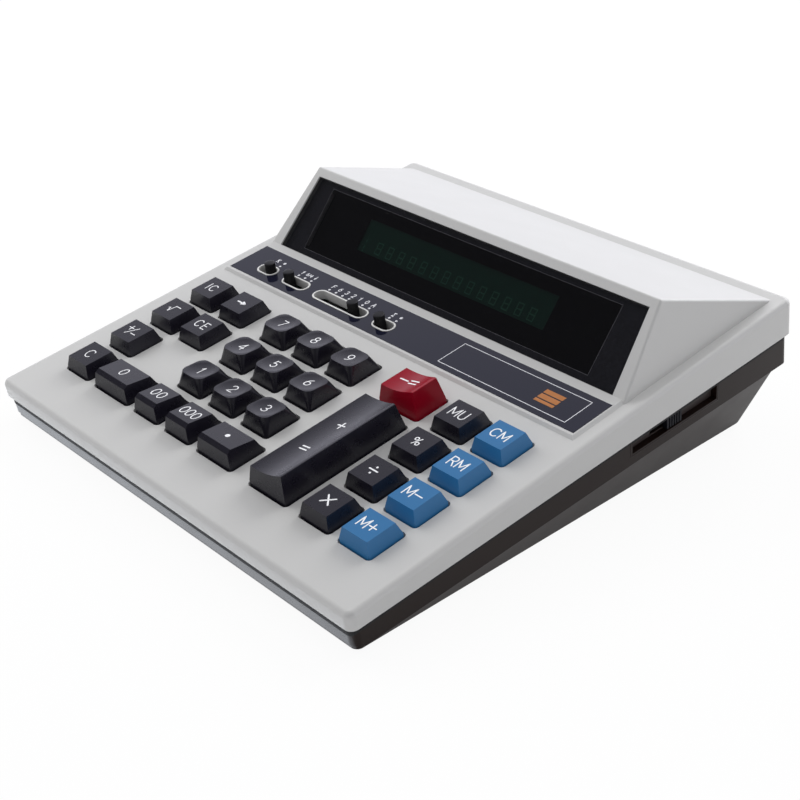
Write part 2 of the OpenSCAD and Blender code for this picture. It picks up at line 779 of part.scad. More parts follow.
module display_tube() {
    pins = floor(tube_w / 2 / pin_pitch) - 1;
    low = display_board_n + soft_fit;
    bend = tube_n - tube_t + pin_t;
    color("#30463e") hood_face() {
        translate([0, opening_s, tube_n - tube_t / 2]) cube([tube_w, tube_h, tube_t], center = true);
        translate([tube_w / 2 - over, opening_s, tube_n - tube_t / 2]) rotate([0, 90, 0])
            cylinder(h = tip_out + over, d = tip_d);
        for (i = [-pins : pins])
            translate([i * pin_pitch - pin_t / 2, opening_s - tube_h / 2 - pin_foot, 0]) {
                translate([0, 0, low]) cube([pin_t, pin_t, bend + pin_t - low]);
                translate([0, 0, bend]) cube([pin_t, pin_foot + over, pin_t]);
            }
    }
}

module display_pads() {
    color("#202020") hood_face() for (s = [-1, 1])
        translate([s * tube_w / 3, opening_s, display_board_n + pad_t / 2])
            cube([pad_w, tube_h * 3 / 4, pad_t - soft_fit], center = true);
}

module display_board() {
    low = display_boss_s[0] - display_margin;
    color(board_c) hood_face() difference() {
        translate([-display_board_w / 2, low, display_board_n - board_t])
            cube([display_board_w, display_boss_s[1] + display_margin - low, board_t]);
        for (x = [-1, 1], s = display_boss_s)
            translate([x * display_boss_x, s, display_board_n - board_t - over])
                cylinder(h = board_t + 2 * over, d = clear_d);
    }
}

// ---------- keys ----------

module place(k) {
    deck() translate([k[0], k[1], 0]) children();
}

module stem(top) {
    translate([-stem_w / 2, -stem_w / 2, -stem_end]) cube([stem_w, stem_w, stem_end + top]);
    translate([-flange_w / 2, -flange_w / 2, -stem_end]) cube([flange_w, flange_w, flange_t]);
}

// Hollow of a key cap under a top at height high
module cap_hollow(k, high, side, front, rear) {
    taper(k[2] - 2 * cap_wall, k[3] - 2 * cap_wall, -skirt - over, high - cap_top, side, front, rear);
}

module flat_cap(k, c = black_c) {
    color(c) place(k) {
        difference() {
            intersection() {
                taper(k[2], k[3], -skirt, flat_h, flat_side, flat_front, flat_rear);
                translate([0, 0, -skirt]) linear_extrude(skirt + flat_h)
                    rounded_rect(k[2], k[3], cap_corner);
            }
            cap_hollow(k, flat_h, flat_side, flat_front, flat_rear);
        }
        stem(flat_h - cap_top / 2);
    }
}

module digit_cap(k) {
    top_w = k[2] - 2 * digit_side;
    top_d = k[3] - digit_front - digit_rear;
    top_y = (digit_front - digit_rear) / 2;
    digit_lean = atan(2 * digit_rise / top_d);
    color(black_c) place(k) {
        difference() {
            union() {
                translate([0, 0, -skirt]) linear_extrude(skirt) rounded_rect(k[2], k[3], cap_corner);
                hull() {
                    translate([0, 0, -0.01]) linear_extrude(0.01)
                        rounded_rect(k[2], k[3], cap_corner, $fn = 24);
                    translate([0, top_y, digit_h]) rotate([-digit_lean, 0, 0])
                        translate([0, 0, -0.01]) linear_extrude(0.01)
                            rounded_rect(top_w, top_d, digit_corner, $fn = 24);
                }
            }
            translate([0, top_y, digit_h]) rotate([-digit_lean, 0, 0])
                translate([0, 0, dish_r - dish_depth]) sphere(dish_r, $fn = 96);
            cap_hollow(k, digit_h - dish_depth, digit_side, digit_front, digit_rear);
        }
        stem(digit_h - dish_depth - cap_top / 2);
    }
}

module zero_cap(k) {
    front = -k[3] / 2;
    color(black_c) place(k) {
        difference() {
            intersection() {
                taper(k[2], k[3], -skirt, zero_h + zero_rise, zero_side, 0, zero_rear);
                along_x(far) polygon([[front, -skirt], [-front, -skirt], [-front, 0],
                    [-front - zero_rear, zero_h - zero_rise],
                    [front + zero_bevel_y + zero_bevel, zero_h + zero_rise],
                    [front + zero_bevel_y, zero_h - zero_rise / 2], [front, 0]]);
                translate([0, 0, -skirt]) linear_extrude(skirt + zero_h + zero_rise)
                    rounded_rect(k[2], k[3], cap_corner);
            }
            cap_hollow(k, zero_h - zero_rise, zero_side, zero_bevel_y + 0.5, zero_rear);
        }
        stem(zero_h - zero_rise - cap_top / 2);
    }
}

// Cap with a trough along y, low on its left and high on its right
module bar_cap(k, c) {
    left = bar_side - k[2] / 2;
    right = k[2] / 2 - bar_side - bar_lip;
    chord = norm([right - left, bar_high_h - bar_low_h]);
    trough_r = (chord * chord / 4 + bar_dish * bar_dish) / (2 * bar_dish);
    lean = atan((bar_high_h - bar_low_h) / (right - left));
    low = bar_low_h - bar_dish;
    two = k[3] > 2 * key_pitch;
    color(c) place(k) {
        difference() {
            intersection() {
                along_y(far) polygon([[-k[2] / 2, -skirt], [k[2] / 2, -skirt], [k[2] / 2, 0],
                    [k[2] / 2 - bar_side, bar_high_h], [right, bar_high_h], [left, bar_low_h],
                    [-k[2] / 2, 0]]);
                along_x(far) polygon([[-k[3] / 2, -skirt], [k[3] / 2, -skirt], [k[3] / 2, 0],
                    [k[3] / 2 - bar_rear, bar_high_h], [bar_front - k[3] / 2, bar_high_h],
                    [-k[3] / 2, 0]]);
                translate([0, 0, -skirt]) linear_extrude(skirt + bar_high_h)
                    rounded_rect(k[2], k[3], cap_corner);
            }
            translate([(left + right) / 2, 0, (bar_low_h + bar_high_h) / 2]) rotate([0, -lean, 0])
                translate([0, 0, trough_r - bar_dish]) rotate([90, 0, 0])
                    cylinder(h = far, r = trough_r, center = true, $fn = 128);
            cap_hollow(k, low, bar_side, bar_front, bar_rear);
        }
        for (s = two ? [-1, 1] : [0]) translate([0, s * stem_gap, 0]) stem(low - cap_top / 2);
    }
}

module key_clear() { flat_cap(k_clear); }
module key_sign() { flat_cap(k_sign); }
module key_root() { flat_cap(k_root); }
module key_item_count() { flat_cap(k_item); }
module key_clear_entry() { flat_cap(k_entry); }
module key_backspace() { flat_cap(k_back); }
module key_0() { zero_cap(k_0); }
module key_00() { zero_cap(k_00); }
module key_000() { zero_cap(k_000); }
module key_point() { zero_cap(k_point); }
module key_1() { digit_cap(k_1); }
module key_2() { digit_cap(k_2); }
module key_3() { digit_cap(k_3); }
module key_4() { digit_cap(k_4); }
module key_5() { digit_cap(k_5); }
module key_6() { digit_cap(k_6); }
module key_7() { digit_cap(k_7); }
module key_8() { digit_cap(k_8); }
module key_9() { digit_cap(k_9); }
module key_multiply() { flat_cap(k_multiply); }
module key_divide() { flat_cap(k_divide); }
module key_percent() { flat_cap(k_percent); }
module key_markup() { flat_cap(k_markup); }
module key_memory_plus() { flat_cap(k_mem_plus, blue_c); }
module key_memory_minus() { flat_cap(k_mem_minus, blue_c); }
module key_memory_recall() { flat_cap(k_mem_recall, blue_c); }
module key_memory_clear() { flat_cap(k_mem_clear, blue_c); }
module key_minus_equals() { bar_cap(k_minus, red_c); }
module key_plus_equals() { bar_cap(k_plus, black_c); }

// ---------- key unit ----------

module unit_plate(z, t, half = unit_half) {
    translate([0, (unit_front + unit_rear) / 2, z]) linear_extrude(t)
        square([2 * half, unit_rear - unit_front], center = true);
}

module unit_holes(z, h, d) {
    for (p = unit_screws) translate([p[0], p[1], z]) cylinder(h = h, d = d);
}

module key_frame() {
    bore = stem_w + 2 * slide_fit;
    color("#8f8f8a") deck() difference() {
        union() {
            unit_plate(-frame_z - frame_t, frame_t);
            for (p = stems) translate([p[0] - guide_w / 2, p[1] - guide_w / 2, -frame_z - frame_t / 2])
                cube([guide_w, guide_w, frame_z + frame_t / 2 - guide_top]);
            for (p = unit_screws) translate([p[0], p[1], fit - board_z])
                cylinder(h = board_z - fit - frame_z - frame_t / 2, d = boss_d);
        }
        for (p = stems) translate([p[0] - bore / 2, p[1] - bore / 2, -far / 2])
            cube([bore, bore, far]);
        unit_holes(-board_z - over, board_z + 2 * over, clear_d);
    }
}

module dome_sheet() {
    color(rubber_c) deck() difference() {
        union() {
            unit_plate(fit - board_z, sheet_t, unit_half - 1);
            for (p = stems) translate([p[0], p[1], sheet_t / 2 - board_z])
                cylinder(h = board_z - dome_top - sheet_t / 2, d1 = dome_d, d2 = dome_d - 3);
        }
        for (p = stems) translate([p[0], p[1], -board_z - over])
            cylinder(h = over + sheet_t + 0.8, d = dome_d - 3);
        unit_holes(-board_z - over, far / 20, boss_d + 2 * soft_fit);
    }
}

module key_board() {
    color(board_c) deck() difference() {
        unit_plate(-board_z - board_t, board_t);
        unit_holes(-board_z - board_t - over, board_t + 2 * over, clear_d);
    }
}

// Screw with its head's underside at z = 0 and its shank upwards
module pan_screw(length, d = screw_d) {
    cylinder(h = length, d = d);
    difference() {
        translate([0, 0, -1.8]) cylinder(h = 1.8, d = 5.2);
        for (a = [0, 90]) rotate([0, 0, a]) translate([-1.6, -0.35, -1.8 - over]) cube([3.2, 0.7, over + 0.9]);
    }
}

module board_screws() {
    color(metal_c) {
        deck() {
            for (p = unit_screws) translate([p[0], p[1], -board_z - board_t - fit])
                pan_screw(board_z + board_t - wall - 1.2);
            for (p = selector_screws) translate([p[0], p[1], -selector_board_z - board_t - fit])
                pan_screw(8);
        }
        hood_face() for (x = [-1, 1], s = display_boss_s)
            translate([x * display_boss_x, s, display_board_n - board_t - fit]) pan_screw(8);
    }
}

// ---------- selectors ----------

module selector_knob(s) {
    color("#17171c") deck() translate([knob_x(s), slot_y, 0]) {
        translate([0, 0, -wall]) cylinder(h = wall + knob_h - 0.3, d = knob_d);
        translate([0, 0, knob_h - 0.3]) cylinder(h = 0.3, d1 = knob_d, d2 = knob_d - 0.6);
        translate([-selector_stem[0] / 2, -selector_stem[1] / 2, -selector_stem_end])
            cube([selector_stem[0], selector_stem[1], selector_stem_end]);
    }
}

module constant_knob() { selector_knob(constant_slot); }
module rounding_knob() { selector_knob(rounding_slot); }
module decimal_knob() { selector_knob(decimal_slot); }
module total_knob() { selector_knob(total_slot); }

module selector_switches() {
    gap = 0.3;
    color(metal_c) deck() for (s = slots) difference() {
        translate([s[0], slot_y, -selector_top - selector_h / 2 + fit / 2])
            cube([slot_len(s) + 3, selector_body_w, selector_h - fit], center = true);
        translate([s[0], slot_y, -selector_stem_end + over])
            cube([(s[1] - 1) * slot_pitch + selector_stem[0] + 2 * gap, selector_stem[1] + 2 * gap,
                2 * (over + gap)], center = true);
        translate([s[0] - ((s[1] - 1) * slot_pitch + selector_stem[0]) / 2 - gap,
            slot_y - selector_stem[1] / 2 - gap, -selector_stem_end])
            cube([(s[1] - 1) * slot_pitch + selector_stem[0] + 2 * gap, selector_stem[1] + 2 * gap, far]);
    }
}

module selector_board() {
    color(board_c) deck() difference() {
        translate([selector_left, selector_front, -selector_board_z - board_t])
            cube([selector_right - selector_left, selector_rear - selector_front, board_t]);
        for (p = selector_screws) translate([p[0], p[1], -selector_board_z - board_t - over])
            cylinder(h = board_t + 2 * over, d = clear_d);
    }
}

// ---------- power switch and inlet ----------

module power_knob() {
    face = band_half - 0.3;
    color("#23232b") pocket_frame() translate([0, power_rest, power_z]) {
        difference() {
            translate([pocket_floor + fit, -power_len / 2, -power_h / 2])
                cube([face - pocket_floor - fit, power_len, power_h]);
            for (i = [-2 : 2]) translate([face - 0.5, i * 1.3 - 0.3, -power_h / 2 - over])
                cube([over, 0.6, power_h + 2 * over]);
        }
        translate([backing_in - 3, -power_stem[0] / 2, -power_stem[1] / 2])
            cube([pocket_floor + 0.5 - backing_in + 3, power_stem[0], power_stem[1]]);
    }
}

module power_switch() {
    gap = 0.3;
    middle = power_rest - power_travel / 2;
    color(metal_c) pocket_frame() difference() {
        translate([backing_in - fit - power_body[0], middle - power_body[1] / 2, power_z - power_body[2] / 2])
            cube(power_body);
        translate([backing_in - 3 - gap, middle - (power_travel + power_stem[0]) / 2 - gap,
            power_z - power_stem[1] / 2 - gap])
            cube([3 + gap + over, power_travel + power_stem[0] + 2 * gap, power_stem[1] + 2 * gap]);
    }
}

module mains_inlet() {
    color("#1c1c1c") translate([inlet_x, inlet_face, inlet_z]) {
        difference() {
            union() {
                translate([0, -inlet_flange / 2 + fit / 2, 0])
                    cube([inlet_w + 4, inlet_flange - fit, inlet_h + 4], center = true);
                translate([0, -inlet_body_d / 2, 0]) cube([inlet_w, inlet_body_d, inlet_h], center = true);
            }
            translate([0, over, 0]) rotate([90, 0, 0]) linear_extrude(inlet_body_d - 2.5 + over)
                stadium(inlet_w - 2.4, inlet_h - 3);
        }
        for (s = [-1, 1]) translate([s * inlet_pitch / 2, -inlet_body_d + 1, 0]) rotate([-90, 0, 0])
            cylinder(h = inlet_body_d - 4, d = 2.4);
        for (s = [-1, 1]) translate([s * inlet_pitch / 2, -inlet_body_d - 2, 0])
            cube([2.4, 5, 0.8], center = true);
    }
}

// ---------- main board and transformer ----------

module main_board() {
    color(board_c) difference() {
        translate([main_left, main_front, main_z])
            cube([main_right - main_left, main_rear - main_front, board_t]);
        for (p = main_screws) translate([p[0], p[1], main_z - over])
            cylinder(h = board_t + 2 * over, d = clear_d);
    }
}

// Body on two rows of leads
module chip(w, d, h) {
    translate([-w / 2, -d / 2, 1]) cube([w, d, h]);
    for (i = [1 : round(w / lead_pitch) - 1], s = [-1, 1])
        translate([lead_pitch * i - w / 2, s * (d / 2 + 0.4), 1]) cube([0.6, 1, 2], center = true);
}

module main_board_parts() {
    color("#26262a") {
        translate([main_left, main_front, main_top]) {
            for (c = chips) translate([c[0], c[1], 0]) chip(c[2], c[3], c[4]);
            for (c = capacitors) translate([c[0], c[1], 0]) cylinder(h = c[3], d = c[2]);
            translate([heat_sink[0], heat_sink[1], 0]) {
                cube([heat_sink[2], 3, heat_sink[3]]);
                translate([(heat_sink[2] - regulator[0]) / 2, 0.2 - regulator[1], 1]) cube(regulator);
            }
        }
        for (p = [key_socket, selector_socket, display_socket, power_socket])
            translate([p[0], p[1], main_top + socket_h / 2]) cube([p[2], socket_d, socket_h], center = true);
    }
}

module main_board_screws() {
    color(metal_c) for (p = main_screws) translate([p[0], p[1], main_z + board_t + fit])
        mirror([0, 0, 1]) pan_screw(main_lift + board_t - 0.6);
}

module transformer() {
    color(metal_c) translate([core_x, core_y, floor_top + core_post]) {
        difference() {
            translate([0, 0, lug_t / 2]) cube([2 * lug_x + 8, core_d / 2, lug_t], center = true);
            for (s = [-1, 1]) translate([s * lug_x, 0, -over]) cylinder(h = lug_t + 2 * over, d = clear_d);
        }
        translate([-core_w / 2, -core_d / 4, 0]) cube([core_w, core_d / 2, core_h]);
        difference() {
            translate([-core_w / 3, -core_d / 2, 3]) cube([2 * core_w / 3, core_d, core_h - 6]);
            for (s = [-1, 1]) translate([0, s * core_d / 2, core_h / 2])
                cube([2 * core_w / 3 - 3, 1.2, core_h - 10], center = true);
        }
    }
}

module transformer_screws() {
    color(metal_c) for (s = [-1, 1])
        translate([core_x + s * lug_x, core_y, floor_top + core_post + lug_t + fit])
            mirror([0, 0, 1]) pan_screw(core_post + lug_t + 0.8);
}

// Wires from the inlet to the switch, on to the transformer, and to the board
module mains_wiring() {
    r = 0.7;
    run_z = inlet_z + 2;
    lane_y = core_y - core_d / 2 - 6;
    tab = [inlet_x + inlet_pitch / 2, inlet_face - inlet_body_d - 4.5 - soft_fit, inlet_z];
    coil_y = core_y - core_d / 2 - soft_fit;
    contact = [backing_in - power_body[0] - fit - soft_fit, model_y(pocket_y, -20), model_z(pocket_y, -17)];
    plug_z = socket_top + soft_fit;
    color("#b8442e") {
        wire([tab, tab - [0, 3, 0], [core_x - core_w / 2 - 3, lane_y, run_z],
            [contact[0] - 5, lane_y, run_z], contact - [4, 3, 0], contact - [0, 3, 0]], r);
        wire([contact + [0, 3, 0], contact + [-5, 3, 0], [core_x + 8, coil_y - 4, run_z + 5],
            [core_x + 8, coil_y, run_z + 5]], r);
        wire([[core_x - 8, coil_y, run_z], [core_x - 8, coil_y - 3, run_z],
            [main_right + 6, lane_y + 3, run_z + 4], [power_socket[0], power_socket[1], plug_z + 4],
            [power_socket[0], power_socket[1], plug_z]], r);
    }
}

// Flat cables, each a bent strip
module ribbon(x, w, points, t) {
    for (i = [0 : len(points) - 2]) {
        a = points[i];
        b = points[i + 1];
        v = b - a;
        translate([x, a[0], a[1]]) rotate([atan2(v[1], v[0]), 0, 0])
            translate([-w / 2, 0, -t / 2]) cube([w, norm(v), t]);
    }
    for (i = [1 : len(points) - 2]) translate([x, points[i][0], points[i][1]]) rotate([0, 90, 0])
        cylinder(h = w, d = t + 0.2, center = true, $fn = 16);
}

// Height and position of a cable's end on a board and on its socket
function under_board(y, z, t) = [model_y(y, z - soft_fit - t / 2), model_z(y, z - soft_fit - t / 2)];
function on_socket(p, dy, t) = [p[1] + dy, socket_top + soft_fit + t / 2];

module ribbon_cables() {
    t = 1;
    back = display_board_n - board_t;
    display_y = hood_y + 8 * cos(front_lean) - back * sin(front_lean);
    display_z = 8 * sin(front_lean) + back * cos(front_lean);
    color("#9aa0a8") {
        ribbon(key_socket[0], 12, [under_board(unit_rear - 3, -board_z - board_t, t),
            under_board(unit_rear + 10, -board_z - board_t - 1, t), on_socket(key_socket, -4, t) + [0, 1],
            on_socket(key_socket, 2, t)], t);
        ribbon(selector_socket[0], 10, [under_board(selector_front + 4, -selector_board_z - board_t, t),
            on_socket(selector_socket, -2, t), on_socket(selector_socket, 2, t)], t);
        ribbon(display_socket[0], 18, [under_board(display_y + 1, display_z - 1, t),
            on_socket(display_socket, -4, t) + [0, 2], on_socket(display_socket, 2, t)], t);
    }
}

// ---------- fasteners and feet ----------

module case_screws() {
    color(metal_c) for (p = case_screw_spots) translate([p[0], p[1], p[2]]) {
        cylinder(h = p[4] - p[2], d = screw_d);
        difference() {
            translate([0, 0, -head_h]) cylinder(h = head_h, d = head_d);
            for (a = [0, 90]) rotate([0, 0, a])
                translate([-1.8, -0.4, -head_h - over]) cube([3.6, 0.8, over + 1.2]);
        }
    }
}

module rubber_feet() {
    color(rubber_c) for (p = feet) translate([p[0], p[1], 0]) {
        cylinder(h = 0.5, d1 = foot_d - 1, d2 = foot_d);
        translate([0, 0, 0.5]) cylinder(h = foot_h + foot_seat - 0.5 - fit, d = foot_d);
    }
}

upper_case();
lower_case();
control_strip();
display_window();
display_tube();
display_pads();
display_board();
key_clear();
key_sign();
key_root();
key_item_count();
key_clear_entry();
key_backspace();
key_0();
key_00();
key_000();
key_point();
key_1();
key_2();
key_3();
key_4();
key_5();
key_6();
key_7();
key_8();
key_9();
key_multiply();
key_divide();
key_percent();
key_markup();
key_memory_plus();
key_memory_minus();
key_memory_recall();
key_memory_clear();
key_minus_equals();
key_plus_equals();
key_frame();
dome_sheet();
key_board();
constant_knob();
rounding_knob();
decimal_knob();
total_knob();
selector_switches();
selector_board();
board_screws();
power_knob();
power_switch();
main_board();
main_board_parts();
main_board_screws();
transformer();
transformer_screws();
mains_inlet();
mains_wiring();
ribbon_cables();
case_screws();
rubber_feet();
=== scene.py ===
"""Looks of a desk calculator: soft key caps, printed legends, knobs, display and moulded shells.

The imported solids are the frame. Each class below dresses one sub-assembly of it, and where a
solid is too plain it models the real piece in its place. The scene is in metres. Sizes that a
class holds are in millimetres, apart from those with MM beside them, Lettering's and Studio's.
"""

import logging
import math
from dataclasses import dataclass, field
from enum import Enum
from typing import Callable, Optional, Sequence

import bmesh
import bpy
from mathutils import Matrix, Vector


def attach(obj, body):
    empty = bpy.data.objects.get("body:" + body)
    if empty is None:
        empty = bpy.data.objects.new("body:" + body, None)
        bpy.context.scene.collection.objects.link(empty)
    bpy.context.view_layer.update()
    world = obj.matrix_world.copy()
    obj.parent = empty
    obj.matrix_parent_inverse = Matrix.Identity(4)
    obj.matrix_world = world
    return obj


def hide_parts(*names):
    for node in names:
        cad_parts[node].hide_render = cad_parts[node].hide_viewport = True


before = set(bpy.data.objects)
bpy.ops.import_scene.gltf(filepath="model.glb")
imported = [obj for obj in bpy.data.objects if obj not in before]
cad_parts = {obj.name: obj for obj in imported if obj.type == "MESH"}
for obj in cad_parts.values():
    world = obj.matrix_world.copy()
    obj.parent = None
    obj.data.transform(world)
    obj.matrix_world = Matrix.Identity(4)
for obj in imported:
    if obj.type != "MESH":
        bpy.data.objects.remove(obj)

LOG = logging.getLogger("desk_calculator")
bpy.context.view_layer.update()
MM = 0.001
# Smoothest and roughest spots of a handled surface, as shares of its roughness.
HANDLED = (0.85, 1.15)
# Points of a solid nearer than this are one, and faces that turn less than this are one face.
SAME_POINT_MM = 0.002
FLAT_ANGLE = math.radians(0.8)
# Edges of a cap that turn more than this are rounded.
EDGE_ANGLE = math.radians(35.0)
# A stroke that turns more than this is drawn as two, so that both keep their width.
STROKE_TURN = math.radians(40.0)
# Round tip of a stroke: how far out each ring lies, and its radius, both as shares of the stroke's.
ROUND_TIP = ((0.97, 0.25), (0.8, 0.6), (0.45, 0.9))
Point = tuple[float, float]
Box = tuple[float, float, float, float]
Surface = Callable[[float, float], float]


# ---------------------------------------------------------------- frames of the case


@dataclass(frozen=True)
class CaseFrames:
    """Where the sloping deck and the hood's front lie in the model frame."""

    tilt: float = math.radians(10.1)
    deck_y: float = -106.6479 * MM
    deck_z: float = 17.1613 * MM
    hood_y: float = 126.3 * MM
    hood_lean: float = math.atan2(25.15, 27.3)

    def deck(self, x: float = 0.0, y: float = 0.0, z: float = 0.0) -> Matrix:
        """Frame on the deck: x across, y up the slope, z out of it."""
        base = Matrix.Translation((0.0, self.deck_y, self.deck_z))
        return base @ Matrix.Rotation(self.tilt, 4, "X") @ Matrix.Translation((x, y, z))

    def hood_face(self, x: float = 0.0, s: float = 0.0, n: float = 0.0) -> Matrix:
        """Frame on the hood's front: x across, s up the slope, n out of it."""
        lean = Matrix.Rotation(self.hood_lean, 4, "X")
        return self.deck(0.0, self.hood_y, 0.0) @ lean @ Matrix.Translation((x, s, n))


CASE = CaseFrames()


# ---------------------------------------------------------------- materials


def linear(hex_colour: str) -> tuple[float, float, float, float]:
    """Turn an sRGB hex colour into linear red, green, blue and alpha.

    Args:
        hex_colour: colour as "#rrggbb".

    Returns:
        The linear colour with alpha 1.
    """
    parts = [int(hex_colour[i : i + 2], 16) / 255 for i in (1, 3, 5)]
    red, green, blue = (c / 12.92 if c <= 0.04045 else ((c + 0.055) / 1.055) ** 2.4 for c in parts)
    return red, green, blue, 1.0


def per_metre(size_mm: float) -> float:
    """Scale of a pattern whose features are size_mm wide."""
    return 1.0 / (size_mm * MM)


def add_node(tree: bpy.types.NodeTree, kind: str, settings: dict, links: Optional[dict] = None) -> bpy.types.Node:
    """Add a shader node with its settings and links.

    Args:
        tree: the material's node tree.
        kind: the node's type name without the ShaderNode prefix.
        settings: sockets by name or number, and properties by name, with their values.
        links: sockets by name or number, each with the output socket that feeds it.

    Returns:
        The new node.
    """
    node = tree.nodes.new("ShaderNode" + kind)
    for key, value in settings.items():
        if isinstance(key, int) or key in node.inputs:
            node.inputs[key].default_value = value
        else:
            setattr(node, key, value)
    for key, source in (links or {}).items():
        tree.links.new(source, node.inputs[key])
    return node


def blank_material(name: str) -> tuple[bpy.types.Material, bpy.types.NodeTree]:
    """Make a material whose node tree is empty.

    Args:
        name: the material's name.

    Returns:
        The material and its node tree.
    """
    made = bpy.data.materials.new(name)
    made.use_nodes = True
    made.node_tree.nodes.clear()
    return made, made.node_tree


@dataclass(frozen=True)
class Finish:
    """A solid finish with a fine surface texture and slight unevenness of tone.

    Lengths that end in _mm are the widths or depths of a pattern. tone is how far the colour
    strays from its middle, as a share of it.
    """

    name: str
    colour: str
    roughness: float = 0.4
    grain_mm: float = 0.5
    grain_depth_mm: float = 0.01
    tone: float = 0.04
    tone_mm: float = 30.0
    metallic: float = 0.0
    ior: float = 1.5
    coat: float = 0.0

    def base(self) -> tuple[bpy.types.Material, bpy.types.NodeTree, bpy.types.Node]:
        """Start the material.

        Returns:
            The material, its tree and the coordinate node.
        """
        made, tree = blank_material(self.name)
        return made, tree, add_node(tree, "TexCoord", {})

    def toned(self, tree: bpy.types.NodeTree, where: bpy.types.Node) -> bpy.types.NodeSocket:
        """The finish's colour with broad, faint unevenness.

        Args:
            tree: the node tree.
            where: the coordinate node.

        Returns:
            The colour socket.
        """
        cloud = add_node(tree, "TexNoise", {"Scale": per_metre(self.tone_mm), "Detail": 4.0},
                         {"Vector": where.outputs["Object"]})
        low, high = (tuple(min(1.0, c * k) for c in linear(self.colour)[:3]) + (1.0,)
                     for k in (1 - self.tone, 1 + self.tone))
        return add_node(tree, "Mix", {"data_type": "RGBA", 6: low, 7: high},
                        {0: cloud.outputs["Fac"]}).outputs[2]

    def grain(self, tree: bpy.types.NodeTree, where: bpy.types.Node) -> bpy.types.NodeSocket:
        """The fine texture of the surface as a normal.

        Args:
            tree: the node tree.
            where: the coordinate node.

        Returns:
            The normal socket.
        """
        pits = add_node(tree, "TexNoise", {"Scale": per_metre(self.grain_mm), "Detail": 3.0},
                        {"Vector": where.outputs["Object"]})
        return add_node(tree, "Bump", {"Strength": 1.0, "Distance": self.grain_depth_mm * MM},
                        {"Height": pits.outputs["Fac"]}).outputs["Normal"]

    def rough(self, tree: bpy.types.NodeTree, where: bpy.types.Node) -> bpy.types.NodeSocket:
        """Roughness that varies a little, as handling leaves it.

        Args:
            tree: the node tree.
            where: the coordinate node.

        Returns:
            The roughness socket.
        """
        wear = add_node(tree, "TexNoise", {"Scale": per_metre(self.tone_mm / 4), "Detail": 5.0},
                        {"Vector": where.outputs["Object"]})
        low, high = (self.roughness * share for share in HANDLED)
        return add_node(tree, "MapRange", {"To Min": low, "To Max": high},
                        {"Value": wear.outputs["Fac"]}).outputs["Result"]

    def material(self) -> bpy.types.Material:
        """Build the material.

        Returns:
            The material with its node tree.
        """
        made, tree, where = self.base()
        shader = add_node(tree, "BsdfPrincipled",
                          {"Metallic": self.metallic, "IOR": self.ior, "Coat Weight": self.coat},
                          {"Base Color": self.toned(tree, where), "Roughness": self.rough(tree, where),
                           "Normal": self.grain(tree, where)})
        add_node(tree, "OutputMaterial", {}, {"Surface": shader.outputs[0]})
        return made


@dataclass(frozen=True)
class SmokedAcrylic(Finish):
    """Cast acrylic tinted in the mass: black and glossy, and just clear enough to see through."""

    cover: float = 0.5

    def material(self) -> bpy.types.Material:
        """Build the material.

        Returns:
            The material with its node tree.
        """
        made, tree, where = self.base()
        shader = add_node(tree, "BsdfPrincipled",
                          {"Base Color": linear(self.colour), "IOR": self.ior, "Alpha": self.cover},
                          {"Roughness": self.rough(tree, where), "Normal": self.grain(tree, where)})
        add_node(tree, "OutputMaterial", {}, {"Surface": shader.outputs[0]})
        return made


@dataclass(frozen=True)
class CircuitBoard(Finish):
    """Glass-epoxy board under green solder mask, with tracks showing as darker and lighter bands."""

    track_mm: float = 2.54

    def toned(self, tree: bpy.types.NodeTree, where: bpy.types.Node) -> bpy.types.NodeSocket:
        """The solder mask's colour, lighter over copper tracks.

        Args:
            tree: the node tree.
            where: the coordinate node.

        Returns:
            The colour socket.
        """
        tracks = add_node(tree, "TexBrick",
                          {"Scale": per_metre(self.track_mm * 4), "Mortar Size": 0.05,
                           "Color1": linear("#3f8a53"), "Color2": linear("#2a6a3c"), "Mortar": linear("#1f5230")},
                          {"Vector": where.outputs["Object"]})
        return tracks.outputs["Color"]


@dataclass(frozen=True)
class LaminatedSteel(Finish):
    """Varnished transformer core: thin steel sheets whose edges show as fine lines."""

    sheet_mm: float = 0.5

    def grain(self, tree: bpy.types.NodeTree, where: bpy.types.Node) -> bpy.types.NodeSocket:
        """Lines between the sheets.

        Args:
            tree: the node tree.
            where: the coordinate node.

        Returns:
            The normal socket.
        """
        lines = add_node(tree, "TexWave", {"Scale": per_metre(self.sheet_mm * 6), "wave_profile": "TRI",
                                           "bands_direction": "Y", "Distortion": 0.2},
                         {"Vector": where.outputs["Object"]})
        return add_node(tree, "Bump", {"Strength": 0.6, "Distance": 0.1 * MM},
                        {"Height": lines.outputs["Fac"]}).outputs["Normal"]


# ABS moulded in a finely etched mould: satin, warm grey, its texture only just breaking the highlights.
CASE_ABS = Finish("moulded_abs_warm_grey", "#c2c2c0", 0.38, 0.45, 0.010, 0.012, 60.0, ior=1.46)
# Dark brown ABS from a smoother mould, so that it mirrors the desk at a low angle.
BASE_ABS = Finish("moulded_abs_dark_brown", "#1c110d", 0.34, 0.5, 0.006, 0.05, 45.0, ior=1.26)
# The same ABS in the pocket, left rougher by spark erosion, and painted paler than the band as light that reaches
# into the pocket.
POCKET_ABS_PAINTED_LIGHT = Finish("spark_eroded_abs_painted_light", "#2b211d", 0.6, 0.8, 0.05, 0.12, 3.0)
# Lacquered aluminium plate: slate blue-grey, smooth enough to mirror the knobs.
STRIP_LACQUER = Finish("lacquered_plate_slate", "#181928", 0.07, 0.6, 0.0005, 0.02, 30.0, ior=1.38)
# White ABS inlay of the slot rims.
RIM_WHITE = Finish("moulded_abs_white", "#e2e2df", 0.4, 0.45, 0.004, 0.01, 20.0)
